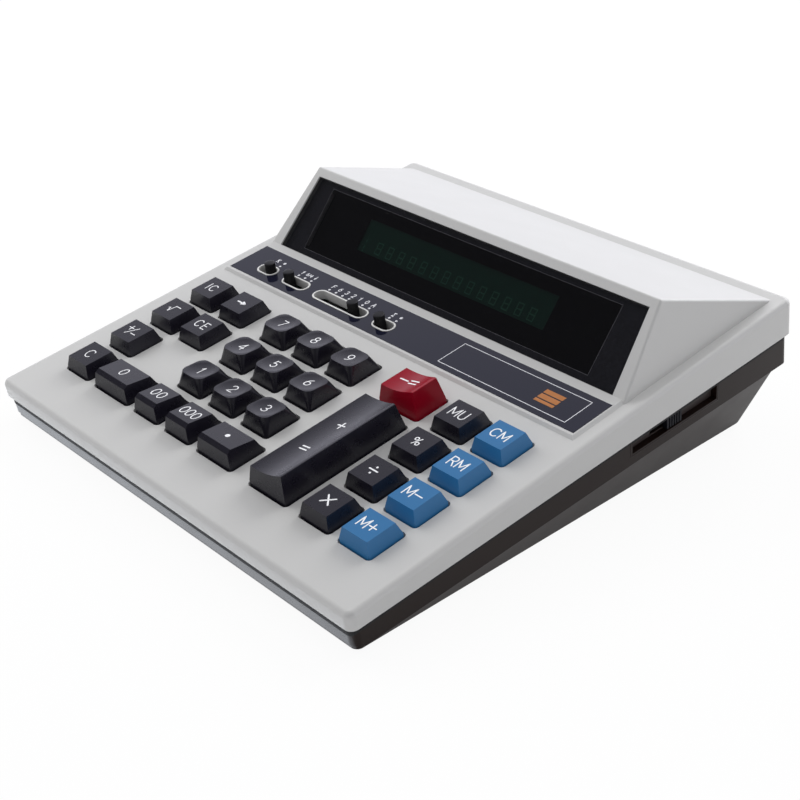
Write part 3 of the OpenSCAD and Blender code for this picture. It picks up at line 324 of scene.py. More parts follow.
# Double-shot ABS key caps: near-black with a soft violet sheen and a very fine texture.
KEY_BLACK = Finish("double_shot_abs_black", "#14121c", 0.28, 0.35, 0.005, 0.04, 12.0)
KEY_BLUE = Finish("double_shot_abs_blue", "#246a9d", 0.40, 0.35, 0.008, 0.03, 12.0)
KEY_RED = Finish("double_shot_abs_red", "#8a031b", 0.25, 0.35, 0.006, 0.03, 12.0, ior=1.3)
# The second shot, which shows as the legends: plain white ABS.
LEGEND_WHITE = Finish("second_shot_abs_white", "#f1f2f4", 0.5, 0.4, 0.002, 0.01, 10.0)
# Screen ink: thin, matt and a little greyer than moulded plastic.
PRINT_WHITE = Finish("screen_ink_white", "#e4e5e9", 0.5, 0.3, 0.002, 0.01, 10.0)
PRINT_ORANGE = Finish("screen_ink_orange", "#b4733c", 0.5, 0.3, 0.002, 0.02, 10.0)
# Acetal knobs: waxy black.
KNOB_ACETAL = Finish("moulded_acetal_black", "#09090c", 0.48, 0.5, 0.006, 0.05, 8.0)
POWER_ACETAL = Finish("moulded_acetal_blue_black", "#0b0c14", 0.6, 0.5, 0.006, 0.05, 8.0, ior=1.3)
# Cast acrylic, smoked: mirror-smooth, and dark enough to hide all but the tube.
WINDOW_ACRYLIC = SmokedAcrylic("cast_acrylic_smoked", "#040405", 0.03, 3.0, 0.0002, ior=1.49)
# Ink printed on the back of the window, with a coarse matt texture.
WINDOW_INK = Finish("screen_ink_matt_grey", "#62626e", 0.5, 0.7, 0.06, 0.45, 1.2)
# A hairline of lighter ink round the clear part.
WINDOW_LINE = Finish("screen_ink_light_grey", "#f4f4ff", 0.5, 0.4, 0.002, 0.02, 10.0)
# Black card round the display: matt, so that it swallows light. The seam strip wears it too, as painted shade.
MASK_CARD_AND_SEAM_SHADE = Finish("dyed_card_black_and_seam_shade", "#08080a", 0.8, 0.3, 0.01, 0.05, 8.0)
# Soda glass, dark from the silvery getter behind it: smooth, with a soft mirror.
TUBE_GLASS = Finish("soda_glass_over_getter", "#10201a", 0.12, 2.0, 0.002, 0.05, 20.0, coat=0.3)
# Dyed filter sheet over the tube: a dim green glow of its own colour.
FILTER_GREEN = Finish("dyed_sheet_green", "#1f6450", 0.45, 0.5, 0.004, 0.08, 15.0)
# Unlit zinc oxide phosphor on the tube's segments: a slightly paler green.
PHOSPHOR = Finish("unlit_zinc_oxide_phosphor", "#4c9a7c", 0.6, 0.2, 0.004, 0.05, 5.0)
# Black ABS guide under the deck, darkened to paint the shade in the gap round each key: it shows as the dark line
# there.
GUIDE_ABS_AND_GAP_SHADE = Finish("moulded_abs_black_gap_shade", "#161619", 0.5, 0.5, 0.01, 0.04, 20.0)
# Circuit board: glossy green over paler tracks.
BOARD = CircuitBoard("glass_epoxy_green", "#2f6b3f", 0.35, 0.3, 0.01, 0.05, 10.0)
# Moulded epoxy: dull charcoal, a little grainy.
CHIP_EPOXY = Finish("moulded_epoxy_black", "#222226", 0.5, 0.3, 0.012, 0.06, 6.0)
# Zinc-plated pressings: bright cool grey with uneven lustre.
PLATED_STEEL = Finish("zinc_plated_steel", "#b6b9bd", 0.32, 0.25, 0.004, 0.08, 6.0, metallic=1.0)
# Stacked core sheets under brown varnish: fine dark lines.
CORE_STEEL = LaminatedSteel("varnished_core_steel", "#5d5a56", 0.45, 0.4, 0.01, 0.08, 9.0, metallic=0.6)
# Moulded silicone: soft mid-grey without gloss.
SILICONE = Finish("silicone_rubber_grey", "#6a6a68", 0.7, 0.5, 0.01, 0.04, 15.0)
# Moulded rubber: dark, matt and faintly bloomed.
FOOT_RUBBER = Finish("moulded_rubber_grey", "#3a3a3a", 0.8, 0.4, 0.03, 0.08, 6.0)
# Cellular rubber: black with open pores.
FOAM = Finish("cell_rubber_black", "#202020", 0.9, 0.9, 0.15, 0.1, 6.0)
# Extruded PVC: satin wire covers, and ribbed flat cable.
WIRE_PVC = Finish("pvc_red", "#b8442e", 0.45, 0.6, 0.01, 0.05, 12.0)
RIBBON_PVC = Finish("pvc_grey", "#9aa0a8", 0.5, 1.27, 0.12, 0.05, 12.0)


class Palette:
    """Builds each finish once and hands out its material."""

    def __init__(self) -> None:
        """Start with nothing built."""
        self._made: dict[str, bpy.types.Material] = {}

    def material(self, finish: Finish) -> bpy.types.Material:
        """The finish's material, built on first use.

        Args:
            finish: what the material looks like.

        Returns:
            The one material that every piece of this finish shares.
        """
        if finish.name not in self._made:
            self._made[finish.name] = finish.material()
        return self._made[finish.name]

    def dress(self, obj: bpy.types.Object, finish: Finish) -> None:
        """Give the whole object one finish."""
        obj.data.materials.clear()
        obj.data.materials.append(self.material(finish))


PALETTE = Palette()


# ---------------------------------------------------------------- modelling helpers


def only(obj: bpy.types.Object) -> None:
    """Select this object alone and make it active.

    Args:
        obj: the object.
    """
    for other in bpy.context.selected_objects:
        other.select_set(False)
    obj.select_set(True)
    bpy.context.view_layer.objects.active = obj


def deselect() -> None:
    """Leave nothing selected, so that an operator acts on what it adds alone."""
    for other in bpy.context.selected_objects:
        other.select_set(False)
    bpy.context.view_layer.objects.active = None


def pick(obj: bpy.types.Object, test: Callable[[bmesh.types.BMFace], bool]) -> None:
    """Select the faces that pass a test, and no others, in edit mode.

    Args:
        obj: the object being edited.
        test: says of a face whether it is wanted.
    """
    bpy.ops.mesh.select_mode(type="FACE")
    bpy.ops.mesh.select_all(action="DESELECT")
    mesh = bmesh.from_edit_mesh(obj.data)
    mesh.normal_update()
    for face in mesh.faces:
        if test(face):
            face.select_set(True)
    mesh.select_flush_mode()
    bmesh.update_edit_mesh(obj.data)


def add_plane(name: str, size: float = 2.0, place: Sequence[float] = (0.0, 0.0, 0.0)) -> bpy.types.Object:
    """Add a level square, with nothing else selected.

    Args:
        name: name of the piece.
        size: its side in metres.
        place: its middle in metres.

    Returns:
        The square.
    """
    deselect()
    bpy.ops.mesh.primitive_plane_add(size=size, location=place)
    made = bpy.context.active_object
    made.name = name
    return made


def draw_out(rise: float) -> None:
    """Draw the sheet being edited out along z, and turn its normals outward.

    Args:
        rise: how far up, in millimetres.
    """
    bpy.ops.mesh.select_all(action="SELECT")
    bpy.ops.mesh.extrude_region_move(TRANSFORM_OT_translate={"value": (0.0, 0.0, rise * MM)})
    bpy.ops.mesh.select_all(action="SELECT")
    bpy.ops.mesh.normals_make_consistent(inside=False)
    bpy.ops.object.mode_set(mode="OBJECT")


def settle(obj: bpy.types.Object, place: Matrix, smooth_angle: float = 35.0) -> None:
    """Put the place in the mesh, with the object at the origin, and shade it.

    Args:
        obj: the piece.
        place: where it goes.
        smooth_angle: edges that turn less than this, in degrees, are shaded smooth.
    """
    obj.data.transform(place @ obj.matrix_world)
    obj.matrix_world = Matrix.Identity(4)
    only(obj)
    bpy.ops.object.shade_smooth_by_angle(angle=math.radians(smooth_angle))
    deselect()


def apply_modifier(obj: bpy.types.Object, kind: str, **settings: object) -> None:
    """Add a modifier and apply it at once.

    Args:
        obj: the piece.
        kind: the modifier's type.
        settings: its properties by name.
    """
    only(obj)
    added = obj.modifiers.new(kind.lower(), kind)
    for key, value in settings.items():
        setattr(added, key, value)
    bpy.ops.object.modifier_apply(modifier=added.name)


def flat_sheet(name: str, outline: Sequence[Point], thickness: float, place: Matrix,
               hole: Optional[Box] = None) -> bpy.types.Object:
    """Model a thin four-sided sheet, with or without a rectangular hole.

    Args:
        name: name of the piece.
        outline: its corners in millimetres, anticlockwise from the lower left.
        thickness: its thickness in millimetres.
        place: frame of its lower face.
        hole: left, right, lower and upper edge of the hole in millimetres.

    Returns:
        The sheet.
    """
    made = add_plane(name)
    corners = {(-1, -1): outline[0], (1, -1): outline[1], (1, 1): outline[2], (-1, 1): outline[3]}
    for vertex in made.data.vertices:
        x, y = corners[round(vertex.co.x), round(vertex.co.y)]
        vertex.co = (x * MM, y * MM, 0.0)
    bpy.ops.object.mode_set(mode="EDIT")
    if hole:
        left, right, low, high = (edge * MM for edge in hole)
        for x, y, across in ((left, 0.0, True), (right, 0.0, True), (0.0, low, False), (0.0, high, False)):
            bpy.ops.mesh.select_all(action="SELECT")
            bpy.ops.mesh.bisect(plane_co=(x, y, 0.0), plane_no=(1.0, 0.0, 0.0) if across else (0.0, 1.0, 0.0))
        pick(made, lambda f: left < f.calc_center_median().x < right and low < f.calc_center_median().y < high)
        bpy.ops.mesh.delete(type="FACE")
    draw_out(thickness)
    settle(made, place)
    return made


def box_outline(left: float, right: float, low: float, high: float) -> list[Point]:
    """Corners of a rectangle, anticlockwise from the lower left."""
    return [(left, low), (right, low), (right, high), (left, high)]


def box_loop(edges: Box) -> list[Point]:
    """Closed line round a rectangle given in millimetres, in metres."""
    corners = [(x * MM, y * MM) for x, y in box_outline(*edges)]
    return corners + corners[:1]


def soft_copy(node: str, name: str, edge_mm: float) -> bpy.types.Object:
    """Copy a solid's mesh, merge it into whole faces and round its edges.

    Args:
        node: the solid's node.
        name: the new piece's name.
        edge_mm: radius of the edges.

    Returns:
        The new piece.
    """
    made = bpy.data.objects.new(name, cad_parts[node].data.copy())
    bpy.context.scene.collection.objects.link(made)
    only(made)
    bpy.ops.mesh.customdata_custom_splitnormals_clear()
    bpy.ops.object.mode_set(mode="EDIT")
    bpy.ops.mesh.select_all(action="SELECT")
    bpy.ops.mesh.remove_doubles(threshold=SAME_POINT_MM * MM)
    bpy.ops.mesh.dissolve_limited(angle_limit=FLAT_ANGLE)
    bpy.ops.object.mode_set(mode="OBJECT")
    made.data.materials.clear()
    apply_modifier(made, "BEVEL", width=edge_mm * MM, segments=3, limit_method="ANGLE",
                   angle_limit=EDGE_ANGLE, use_clamp_overlap=True, miter_outer="MITER_ARC")
    settle(made, Matrix.Identity(4), 30.0)
    apply_modifier(made, "WEIGHTED_NORMAL", keep_sharp=True)
    deselect()
    return made


# ---------------------------------------------------------------- lettering


def arc(cx: float, cy: float, rx: float, ry: float, start: float, end: float, steps: int = 12) -> list[Point]:
    """Points on an ellipse from one angle to another, in degrees."""
    angles = [math.radians(start + (end - start) * i / steps) for i in range(steps + 1)]
    return [(cx + rx * math.cos(a), cy + ry * math.sin(a)) for a in angles]


GLYPHS: dict[str, tuple[float, list[list[Point]]]] = {
    "0": (0.58, [arc(0.29, 0.5, 0.29, 0.5, 90, 450, 20)]),
    "1": (0.3, [[(0.0, 0.74), (0.22, 1.0), (0.22, 0.0)]]),
    "2": (0.58, [arc(0.29, 0.72, 0.28, 0.28, 165, -25) + [(0.02, 0.0), (0.58, 0.0)]]),
    "3": (0.56, [arc(0.27, 0.74, 0.25, 0.26, 150, -90) + arc(0.27, 0.25, 0.29, 0.25, 90, -150)]),
    "4": (0.62, [[(0.46, 0.0), (0.46, 1.0), (0.0, 0.3), (0.62, 0.3)]]),
    "5": (0.56, [[(0.5, 1.0), (0.08, 1.0), (0.04, 0.55)] + arc(0.27, 0.32, 0.28, 0.32, 130, -145)]),
    "6": (0.58, [[(0.46, 0.98), (0.2, 0.8), (0.03, 0.5)] + arc(0.29, 0.3, 0.28, 0.3, 175, 535, 18)]),
    "7": (0.56, [[(0.0, 1.0), (0.56, 1.0), (0.2, 0.0)]]),
    "8": (0.58, [arc(0.29, 0.76, 0.23, 0.24, -90, 270, 16), arc(0.29, 0.27, 0.29, 0.27, 90, 450, 18)]),
    "9": (0.58, [[(0.12, 0.02), (0.38, 0.2), (0.55, 0.5)] + arc(0.29, 0.7, 0.28, 0.3, -5, 355, 18)]),
    "A": (0.66, [[(0.0, 0.0), (0.33, 1.0), (0.66, 0.0)], [(0.12, 0.34), (0.54, 0.34)]]),
    "C": (0.72, [arc(0.38, 0.5, 0.38, 0.5, 42, 318, 16)]),
    "E": (0.52, [[(0.52, 1.0), (0.0, 1.0), (0.0, 0.0), (0.52, 0.0)], [(0.0, 0.52), (0.45, 0.52)]]),
    "F": (0.5, [[(0.5, 1.0), (0.0, 1.0), (0.0, 0.0)], [(0.0, 0.52), (0.42, 0.52)]]),
    "I": (0.0, [[(0.0, 0.0), (0.0, 1.0)]]),
    "K": (0.52, [[(0.0, 0.0), (0.0, 1.0)], [(0.5, 1.0), (0.0, 0.42)], [(0.16, 0.6), (0.52, 0.0)]]),
    "M": (0.76, [[(0.0, 0.0), (0.0, 1.0), (0.38, 0.2), (0.76, 1.0), (0.76, 0.0)]]),
    "R": (0.58, [[(0.0, 0.0), (0.0, 1.0), (0.3, 1.0)] + arc(0.3, 0.75, 0.25, 0.25, 90, -90, 8) + [(0.0, 0.5)],
                 [(0.28, 0.5), (0.58, 0.0)]]),
    "U": (0.6, [[(0.0, 1.0), (0.0, 0.32)] + arc(0.3, 0.32, 0.3, 0.32, 180, 360, 10) + [(0.6, 1.0)]]),
    "sum": (0.5, [[(0.5, 1.0), (0.0, 1.0), (0.32, 0.5), (0.0, 0.0), (0.5, 0.0)]]),
    "+": (0.7, [[(0.0, 0.5), (0.7, 0.5)], [(0.35, 0.15), (0.35, 0.85)]]),
    "-": (0.7, [[(0.0, 0.5), (0.7, 0.5)]]),
    "=": (0.7, [[(0.0, 0.66), (0.7, 0.66)], [(0.0, 0.34), (0.7, 0.34)]]),
    "x": (0.8, [[(0.0, 0.1), (0.8, 0.9)], [(0.0, 0.9), (0.8, 0.1)]]),
    "divide": (0.8, [[(0.0, 0.5), (0.8, 0.5)], arc(0.4, 0.86, 0.03, 0.03, 0, 360, 8),
                     arc(0.4, 0.14, 0.03, 0.03, 0, 360, 8)]),
    "%": (0.84, [arc(0.17, 0.76, 0.17, 0.2, 0, 360, 14), arc(0.67, 0.24, 0.17, 0.2, 0, 360, 14),
                 [(0.64, 0.98), (0.2, 0.02)]]),
    "root": (1.25, [[(0.0, 0.46), (0.14, 0.56), (0.36, 0.0), (0.58, 1.0), (1.25, 1.0)]]),
    "sign": (1.3, [[(0.0, 0.74), (0.5, 0.74)], [(0.25, 0.48), (0.25, 1.0)], [(0.3, 0.0), (0.92, 1.0)],
                   [(0.8, 0.24), (1.3, 0.24)]]),
    "right": (0.9, [[(0.0, 0.5), (0.85, 0.5)], [(0.55, 0.66), (0.88, 0.5), (0.55, 0.34), (0.58, 0.5)]]),
    "up": (0.3, [[(0.15, 0.0), (0.15, 0.95)], [(0.0, 0.6), (0.15, 1.0), (0.3, 0.6)]]),
    "down": (0.3, [[(0.15, 1.0), (0.15, 0.05)], [(0.0, 0.4), (0.15, 0.0), (0.3, 0.4)]]),
    "/": (0.4, [[(0.0, 0.0), (0.4, 1.0)]]),
    "dot": (0.1, [arc(0.05, 0.5, 0.07, 0.07, 0, 360, 10), [(0.05, 0.5), (0.06, 0.5)]]),
}


@dataclass(frozen=True)
class Lettering:
    """Round-ended strokes laid on a surface, a little proud of it.

    height, stroke and thickness are in metres, and gap is a share of the height.
    """

    height: float
    stroke: float
    gap: float = 0.28
    thickness: float = 0.16 * MM

    def width(self, text: Sequence[str]) -> float:
        """Width of the text in cap heights."""
        return sum(GLYPHS[g][0] for g in text) + self.gap * (len(text) - 1)

    def write(self, name: str, text: Sequence[str], place: Matrix, centre: Point = (0.0, 0.0),
              surface: Optional[Surface] = None) -> bpy.types.Object:
        """Model a line of text.

        Args:
            name: name of the piece.
            text: the glyphs' names, left to right.
            place: frame of the surface, x along the text and z out of it.
            centre: middle of the text in that frame.
            surface: height of the surface over the frame's plane at a point.

        Returns:
            The lettering as one mesh.
        """
        strokes: list[list[Point]] = []
        x = -self.width(text) / 2
        for glyph in text:
            advance, lines = GLYPHS[glyph]
            strokes += [[((x + px) * self.height, (py - 0.5) * self.height) for px, py in line] for line in lines]
            x += advance + self.gap
        return self.lay(name, strokes, place, centre, surface)

    def lay(self, name: str, strokes: list[list[Point]], place: Matrix, centre: Point = (0.0, 0.0),
            surface: Optional[Surface] = None) -> bpy.types.Object:
        """Model strokes as flattened tubes with round ends.

        Args:
            name: name of the piece.
            strokes: lines of points; one that ends where it starts is closed.
            place: frame of the surface.
            centre: offset of the strokes in that frame.
            surface: height of the surface over the frame's plane at a point.

        Returns:
            The strokes as one mesh.
        """
        curve = bpy.data.curves.new(name, "CURVE")
        curve.dimensions = "3D"
        curve.bevel_depth = self.stroke / 2
        curve.bevel_resolution = 1
        curve.use_fill_caps = True
        for line in (part for stroke in strokes for part in self.runs(stroke)):
            closed = len(line) > 3 and math.dist(line[0], line[-1]) < 1e-9
            points = [(p, 1.0) for p in line[:-1]] if closed else self.rounded(line)
            spline = curve.splines.new("POLY")
            spline.points.add(len(points) - 1)
            for slot, ((px, py), radius) in zip(spline.points, points):
                slot.co = (px, py, 0.0, 1.0)
                slot.radius = radius
            spline.use_cyclic_u = closed
        made = bpy.data.objects.new(name, curve)
        bpy.context.scene.collection.objects.link(made)
        only(made)
        bpy.ops.object.convert(target="MESH")
        flat = Matrix.Diagonal((1, 1, self.thickness / self.stroke, 1))
        made.data.transform(Matrix.Translation((*centre, 0.0)) @ flat)
        if surface:
            for vertex in made.data.vertices:
                vertex.co.z += surface(vertex.co.x, vertex.co.y)
        settle(made, place, 60.0)
        return made

    def runs(self, line: list[Point]) -> list[list[Point]]:
        """Break a line at its sharp corners, so that each run keeps its full width.

        Args:
            line: the line's points.

        Returns:
            The runs.
        """
        found = [[line[0]]]
        for before, point, after in zip(line, line[1:], line[2:]):
            found[-1].append(point)
            turn = (Vector(point) - Vector(before)).angle(Vector(after) - Vector(point), 0.0)
            if turn > STROKE_TURN:
                found.append([point])
        found[-1].append(line[-1])
        return found

    def rounded(self, line: list[Point]) -> list[tuple[Point, float]]:
        """Add round tips to an open line.

        Args:
            line: the line's points.

        Returns:
            Points with their radii, as shares of the stroke.
        """
        radius = self.stroke / 2
        tips = []
        for tip, inner in ((line[0], line[1]), (line[-1], line[-2])):
            away = (Vector(tip) - Vector(inner)).normalized()
            tips.append([(tuple(Vector(tip) + away * radius * reach), size) for reach, size in ROUND_TIP])
        return tips[0] + [(p, 1.0) for p in line] + tips[1][::-1]


# ---------------------------------------------------------------- keys


class CapStyle(Enum):
    """Shape of a key's top."""

    FLAT = "flat"
    DISHED = "dished"
    FRONT_ROW = "front row"
    TROUGH = "trough"


@dataclass(frozen=True)
class CapTop:
    """The plane that a legend lies on, and how the top departs from it."""

    centre: tuple[float, float, float]
    lean_x: float = 0.0
    lean_y: float = 0.0
    bowl: float = 0.0
    trough: float = 0.0

    def place(self, x: float, y: float) -> Matrix:
        """Frame of the top of a key.

        Args:
            x: the key's place across the deck.
            y: its place up the slope.

        Returns:
            The frame, z out of the top.
        """
        cx, cy, cz = self.centre
        return (CASE.deck(x + cx, y + cy, cz) @ Matrix.Rotation(self.lean_x, 4, "X")
                @ Matrix.Rotation(self.lean_y, 4, "Y"))

    def height(self, x: float, y: float) -> float:
        """Height of the top over the plane at a point."""
        rise = (x * x + y * y) / (2 * self.bowl) if self.bowl else 0.0
        return rise + (x * x / (2 * self.trough) if self.trough else 0.0)


CAP_EDGE_MM = 0.35
TOPS = {
    CapStyle.FLAT: CapTop((0.0, -0.2 * MM, 5.3 * MM)),
    CapStyle.DISHED: CapTop((0.0, -0.4 * MM, 5.5 * MM), lean_x=-math.radians(5.24), bowl=34 * MM),
    CapStyle.FRONT_ROW: CapTop((0.0, 0.2 * MM, 6.0 * MM), lean_x=-math.radians(8.2)),
    CapStyle.TROUGH: CapTop((-0.23 * MM, 0.0, 7.87 * MM), lean_y=-math.radians(10.0), trough=30.5 * MM),
}


@dataclass(frozen=True)
class Key:
    """One key: its node, place on the deck, shape, plastic and legend."""

    node: str
    x: float
    y: float
    style: CapStyle
    text: tuple[str, ...]
    plastic: Finish = KEY_BLACK
    height: float = 3.9
    stroke: float = 0.44
    gap: float = 0.28
    offset: Point = (0.0, 0.0)

    def build(self) -> None:
        """Model the cap and its legend, in place of the solid."""
        top = TOPS[self.style]
        cap = soft_copy(self.node, self.node + "_cap", CAP_EDGE_MM)
        PALETTE.dress(cap, self.plastic)
        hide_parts(self.node)
        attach(cap, self.node)
        lettering = Lettering(self.height * MM, self.stroke * MM, self.gap)
        legend = lettering.write(self.node + "_legend", self.text, top.place(self.x * MM, self.y * MM),
                                 (self.offset[0] * MM, self.offset[1] * MM), top.height)
        PALETTE.dress(legend, LEGEND_WHITE)
        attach(legend, self.node)


@dataclass
class Keyboard:
    """All keys, on their grid."""

    pitch: float = 19.05
    column_a: float = -78.35
    column_c: float = -33.4
    column_f: float = 59.95
    row_1: float = 28.0
    bar_x: float = 36.35

    def keys(self) -> list[Key]:
        """List every key with its place and legend.

        Returns:
            The keys, column by column, and then the digits.
        """
        a, c, f = self.column_a, self.column_c, self.column_f
        b, d, e, g = a + self.pitch, c + self.pitch, c + 2 * self.pitch, f + self.pitch
        r1, r2, r3, r4 = (self.row_1 + i * self.pitch for i in range(4))
        flat, dish, front, bar = CapStyle.FLAT, CapStyle.DISHED, CapStyle.FRONT_ROW, CapStyle.TROUGH
        found = [
            Key("key_clear", a, r1, flat, ("C",), height=4.3),
            Key("key_sign", a, r2, flat, ("sign",), height=5.0),
            Key("key_root", a, r3, flat, ("root",), height=3.9),
            Key("key_item_count", a, r4, flat, ("I", "C"), gap=0.4),
            Key("key_clear_entry", b, r3, flat, ("C", "E"), gap=0.4),
            Key("key_backspace", b, r4, flat, ("right",), height=4.7, stroke=0.7),
            Key("key_0", b + 3.57, r1, front, ("0",), height=4.2),
            Key("key_00", c, r1, front, ("0", "0"), height=4.2),
            Key("key_000", d, r1, front, ("0", "0", "0"), height=4.2, gap=0.2),
            Key("key_point", e + 2.38, r1, front, ("dot",), height=5.6, stroke=1.15),
            Key("key_multiply", f, r1, flat, ("x",), height=4.6, stroke=0.6),
            Key("key_divide", f, r2, flat, ("divide",), height=4.6, stroke=0.6),
            Key("key_percent", f, r3, flat, ("%",), height=3.8),
            Key("key_markup", f, r4, flat, ("M", "U"), height=4.3, gap=0.24),
            Key("key_memory_plus", g, r1, flat, ("M", "+"), KEY_BLUE, 4.3, 0.52, 0.2),
            Key("key_memory_minus", g, r2, flat, ("M", "-"), KEY_BLUE, 4.3, 0.52, 0.2),
            Key("key_memory_recall", g, r3, flat, ("R", "M"), KEY_BLUE, 4.3, 0.5, 0.22),
            Key("key_memory_clear", g, r4, flat, ("C", "M"), KEY_BLUE, 4.1, 0.5, 0.24),
            Key("key_minus_equals", self.bar_x, r4, bar, ("-", "="), KEY_RED, 5.3, 0.62, 0.22, (-0.5, 0.2)),
            Key("key_plus_equals", self.bar_x, r2, bar, ("+",), height=4.9, stroke=0.6, offset=(0.3, 7.0)),
        ]
        spots = ((x, y) for y in (r2, r3, r4) for x in (c, d, e))
        found += [Key("key_" + n, x, y, dish, (n,), height=4.0) for n, (x, y) in zip("123456789", spots)]
        return found

    def build(self) -> None:
        """Model every key."""
        for key in self.keys():
            key.build()
            LOG.info("key %s", key.node)
        top = TOPS[CapStyle.TROUGH]
        equals = Lettering(4.9 * MM, 0.6 * MM).write(
            "key_plus_equals_legend_low", ("=",), top.place(self.bar_x * MM, (self.row_1 + self.pitch) * MM),
            (-0.3 * MM, -8.4 * MM), top.height)
        PALETTE.dress(equals, LEGEND_WHITE)
        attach(equals, "key_plus_equals")


# ---------------------------------------------------------------- control strip


@dataclass
class ControlStrip:
    """The slate plate with its printed marks, badge and ribbed selector knobs."""

    surface: float = 1.1 * MM
    rim_top: float = 1.28 * MM
    rim_w: float = 6.6
    rim_line: float = 0.62
    rim_line_in: float = 0.4
    slots: tuple[tuple[float, int], ...] = ((-76.9, 2), (-59.1, 3), (-32.3, 7), (-7.3, 2))
    slot_y: float = 111.0
    pitch: float = 3.9
    dot_y: float = 115.6
    mark_y: float = 118.1
    outline: Box = (26.6, 86.9, 106.5, 120.2)
    badge: Point = (69.6, 78.3)
    badge_bars: tuple[Point, ...] = ((109.8, 111.2), (111.8, 114.2), (114.8, 117.0))
    knob_d: float = 4.3
    knob_top: float = 5.0
    knob_shank: float = 2.4
    knob_foot: float = 4.6
    knob_foot_in: float = 0.8
    knob_sides: int = 48
    rib_depth: float = 0.14
    dome: tuple[Point, ...] = ((0.3, 0.12), (0.5, 0.08))
    knobs: dict[str, float] = field(default_factory=lambda: {
        "constant_knob": -76.9 + 1.95, "rounding_knob": -59.1 - 3.9,
        "decimal_knob": -32.3 + 7.8, "total_knob": -7.3 - 1.95})

    def mark(self, name: str, text: Sequence[str], x: float, y: float, height: float, stroke: float) -> None:
        """Print a small mark on the strip.

        Args:
            name: name of the piece.
            text: the glyphs' names.
            x: the mark's place across the deck.
            y: its place up the slope.
            height: its height.
            stroke: width of its strokes.
        """
        made = Lettering(height * MM, stroke * MM, thickness=0.06 * MM).write(
            name, text, CASE.deck(x * MM, y * MM, self.surface))
        PALETTE.dress(made, PRINT_WHITE)
        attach(made, "base")

    def mark_size(self, text: Sequence[str]) -> Point:
        """Size of a mark: a dot, three signs in a row, or one sign.

        Args:
            text: the glyphs' names.

        Returns:
            Its height and the width of its strokes.
        """
        if text == ("dot",):
            return 3.4, 0.9
        return (1.5 if len(text) > 1 else 2.1), 0.4

    def marks(self) -> None:
        """Print the positions' dots, their letters and the outline."""
        rows = (("constant", (-78.85, -74.95), (("K",), ("dot",))),
                ("rounding", (-63.0, -59.1, -55.2), (("up",), ("5", "/", "4"), ("down",))),
                ("decimal", tuple(-44.0 + self.pitch * i for i in range(7)),
                 (("F",), ("6",), ("3",), ("2",), ("1",), ("0",), ("A",))),
                ("total", (-9.25, -5.35), (("sum",), ("dot",))))
        for name, xs, texts in rows:
            for i, (x, text) in enumerate(zip(xs, texts)):
                self.mark(f"print_{name}_dot_{i}", ("dot",), x, self.dot_y, 2.4, 0.75)
                self.mark(f"print_{name}_mark_{i}", text, x, self.mark_y, *self.mark_size(text))
        made = Lettering(MM, 0.3 * MM, thickness=0.05 * MM).lay(
            "print_outline", [box_loop(self.outline)], CASE.deck(z=self.surface))
        PALETTE.dress(made, PRINT_WHITE)
        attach(made, "base")

    def bars(self) -> None:
        """Print the orange badge: three plain bars."""
        for i, (low, high) in enumerate(self.badge_bars):
            made = flat_sheet(f"print_badge_{i}", box_outline(*self.badge, low, high), 0.05,
                              CASE.deck(z=self.surface))
            PALETTE.dress(made, PRINT_ORANGE)
            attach(made, "base")

    def rims(self) -> None:
        """Lay a white edge on each slot's rim."""
        ring = Lettering(MM, self.rim_line * MM, thickness=0.2 * MM)
        for i, (x, positions) in enumerate(self.slots):
            run, radius = (positions - 1) * self.pitch / 2, self.rim_w / 2 - self.rim_line_in
            right = arc(x + run, self.slot_y, radius, radius, -90, 90, 16)
            left = arc(x - run, self.slot_y, radius, radius, 90, 270, 16)
            loop = [(px * MM, py * MM) for px, py in right + left + right[:1]]
            made = ring.lay(f"slot_edge_{i}", [loop], CASE.deck(z=self.rim_top))
            PALETTE.dress(made, RIM_WHITE)
            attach(made, "base")

    def knob(self) -> bpy.types.Object:
        """Model the ribbed knob once: round, with upright ribs and a domed top.

        Returns:
            The knob, standing at the origin.
        """
        deselect()
        depth = self.knob_top + self.knob_shank
        bpy.ops.mesh.primitive_cylinder_add(vertices=self.knob_sides, radius=self.knob_d / 2 * MM, depth=depth * MM,
                                            location=(0.0, 0.0, (self.knob_top - depth / 2) * MM))
        made = bpy.context.active_object
        bpy.ops.object.transform_apply(location=True)
        bpy.ops.object.mode_set(mode="EDIT")
        pick(made, lambda f: f.normal.z > 0.9)
        for inward, rise in self.dome:
            bpy.ops.mesh.inset(thickness=inward * MM, depth=rise * MM)
        step = math.tau / self.knob_sides
        pick(made, lambda f: abs(f.normal.z) < 0.1 and f.calc_area() > 1e-6
             and int((math.atan2(f.normal.y, f.normal.x) % math.tau) / step) % 2 == 0)
        bpy.ops.mesh.inset(use_individual=True, thickness=0.02 * MM, depth=-self.rib_depth * MM)
        pick(made, lambda f: f.normal.z < -0.9 and f.calc_center_median().z < (0.1 - self.knob_shank) * MM)
        bpy.ops.mesh.inset(thickness=self.knob_foot_in * MM)
        bpy.ops.mesh.extrude_region_move(TRANSFORM_OT_translate={"value": (0.0, 0.0, -self.knob_foot * MM)})
        bpy.ops.object.mode_set(mode="OBJECT")
        deselect()
        return made

    def build(self) -> None:
        """Print the strip and set a knob in each slot."""
        self.marks()
        self.bars()
        self.rims()
        pattern = self.knob()
        for name, x in self.knobs.items():
            made = bpy.data.objects.new(name + "_ribbed", pattern.data.copy())
            bpy.context.scene.collection.objects.link(made)
            settle(made, CASE.deck(x * MM, self.slot_y * MM, 0.0), 40.0)
            PALETTE.dress(made, KNOB_ACETAL)
            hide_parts(name)
            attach(made, name)
            LOG.info("knob %s", name)
        bpy.data.objects.remove(pattern)


# ---------------------------------------------------------------- side pocket


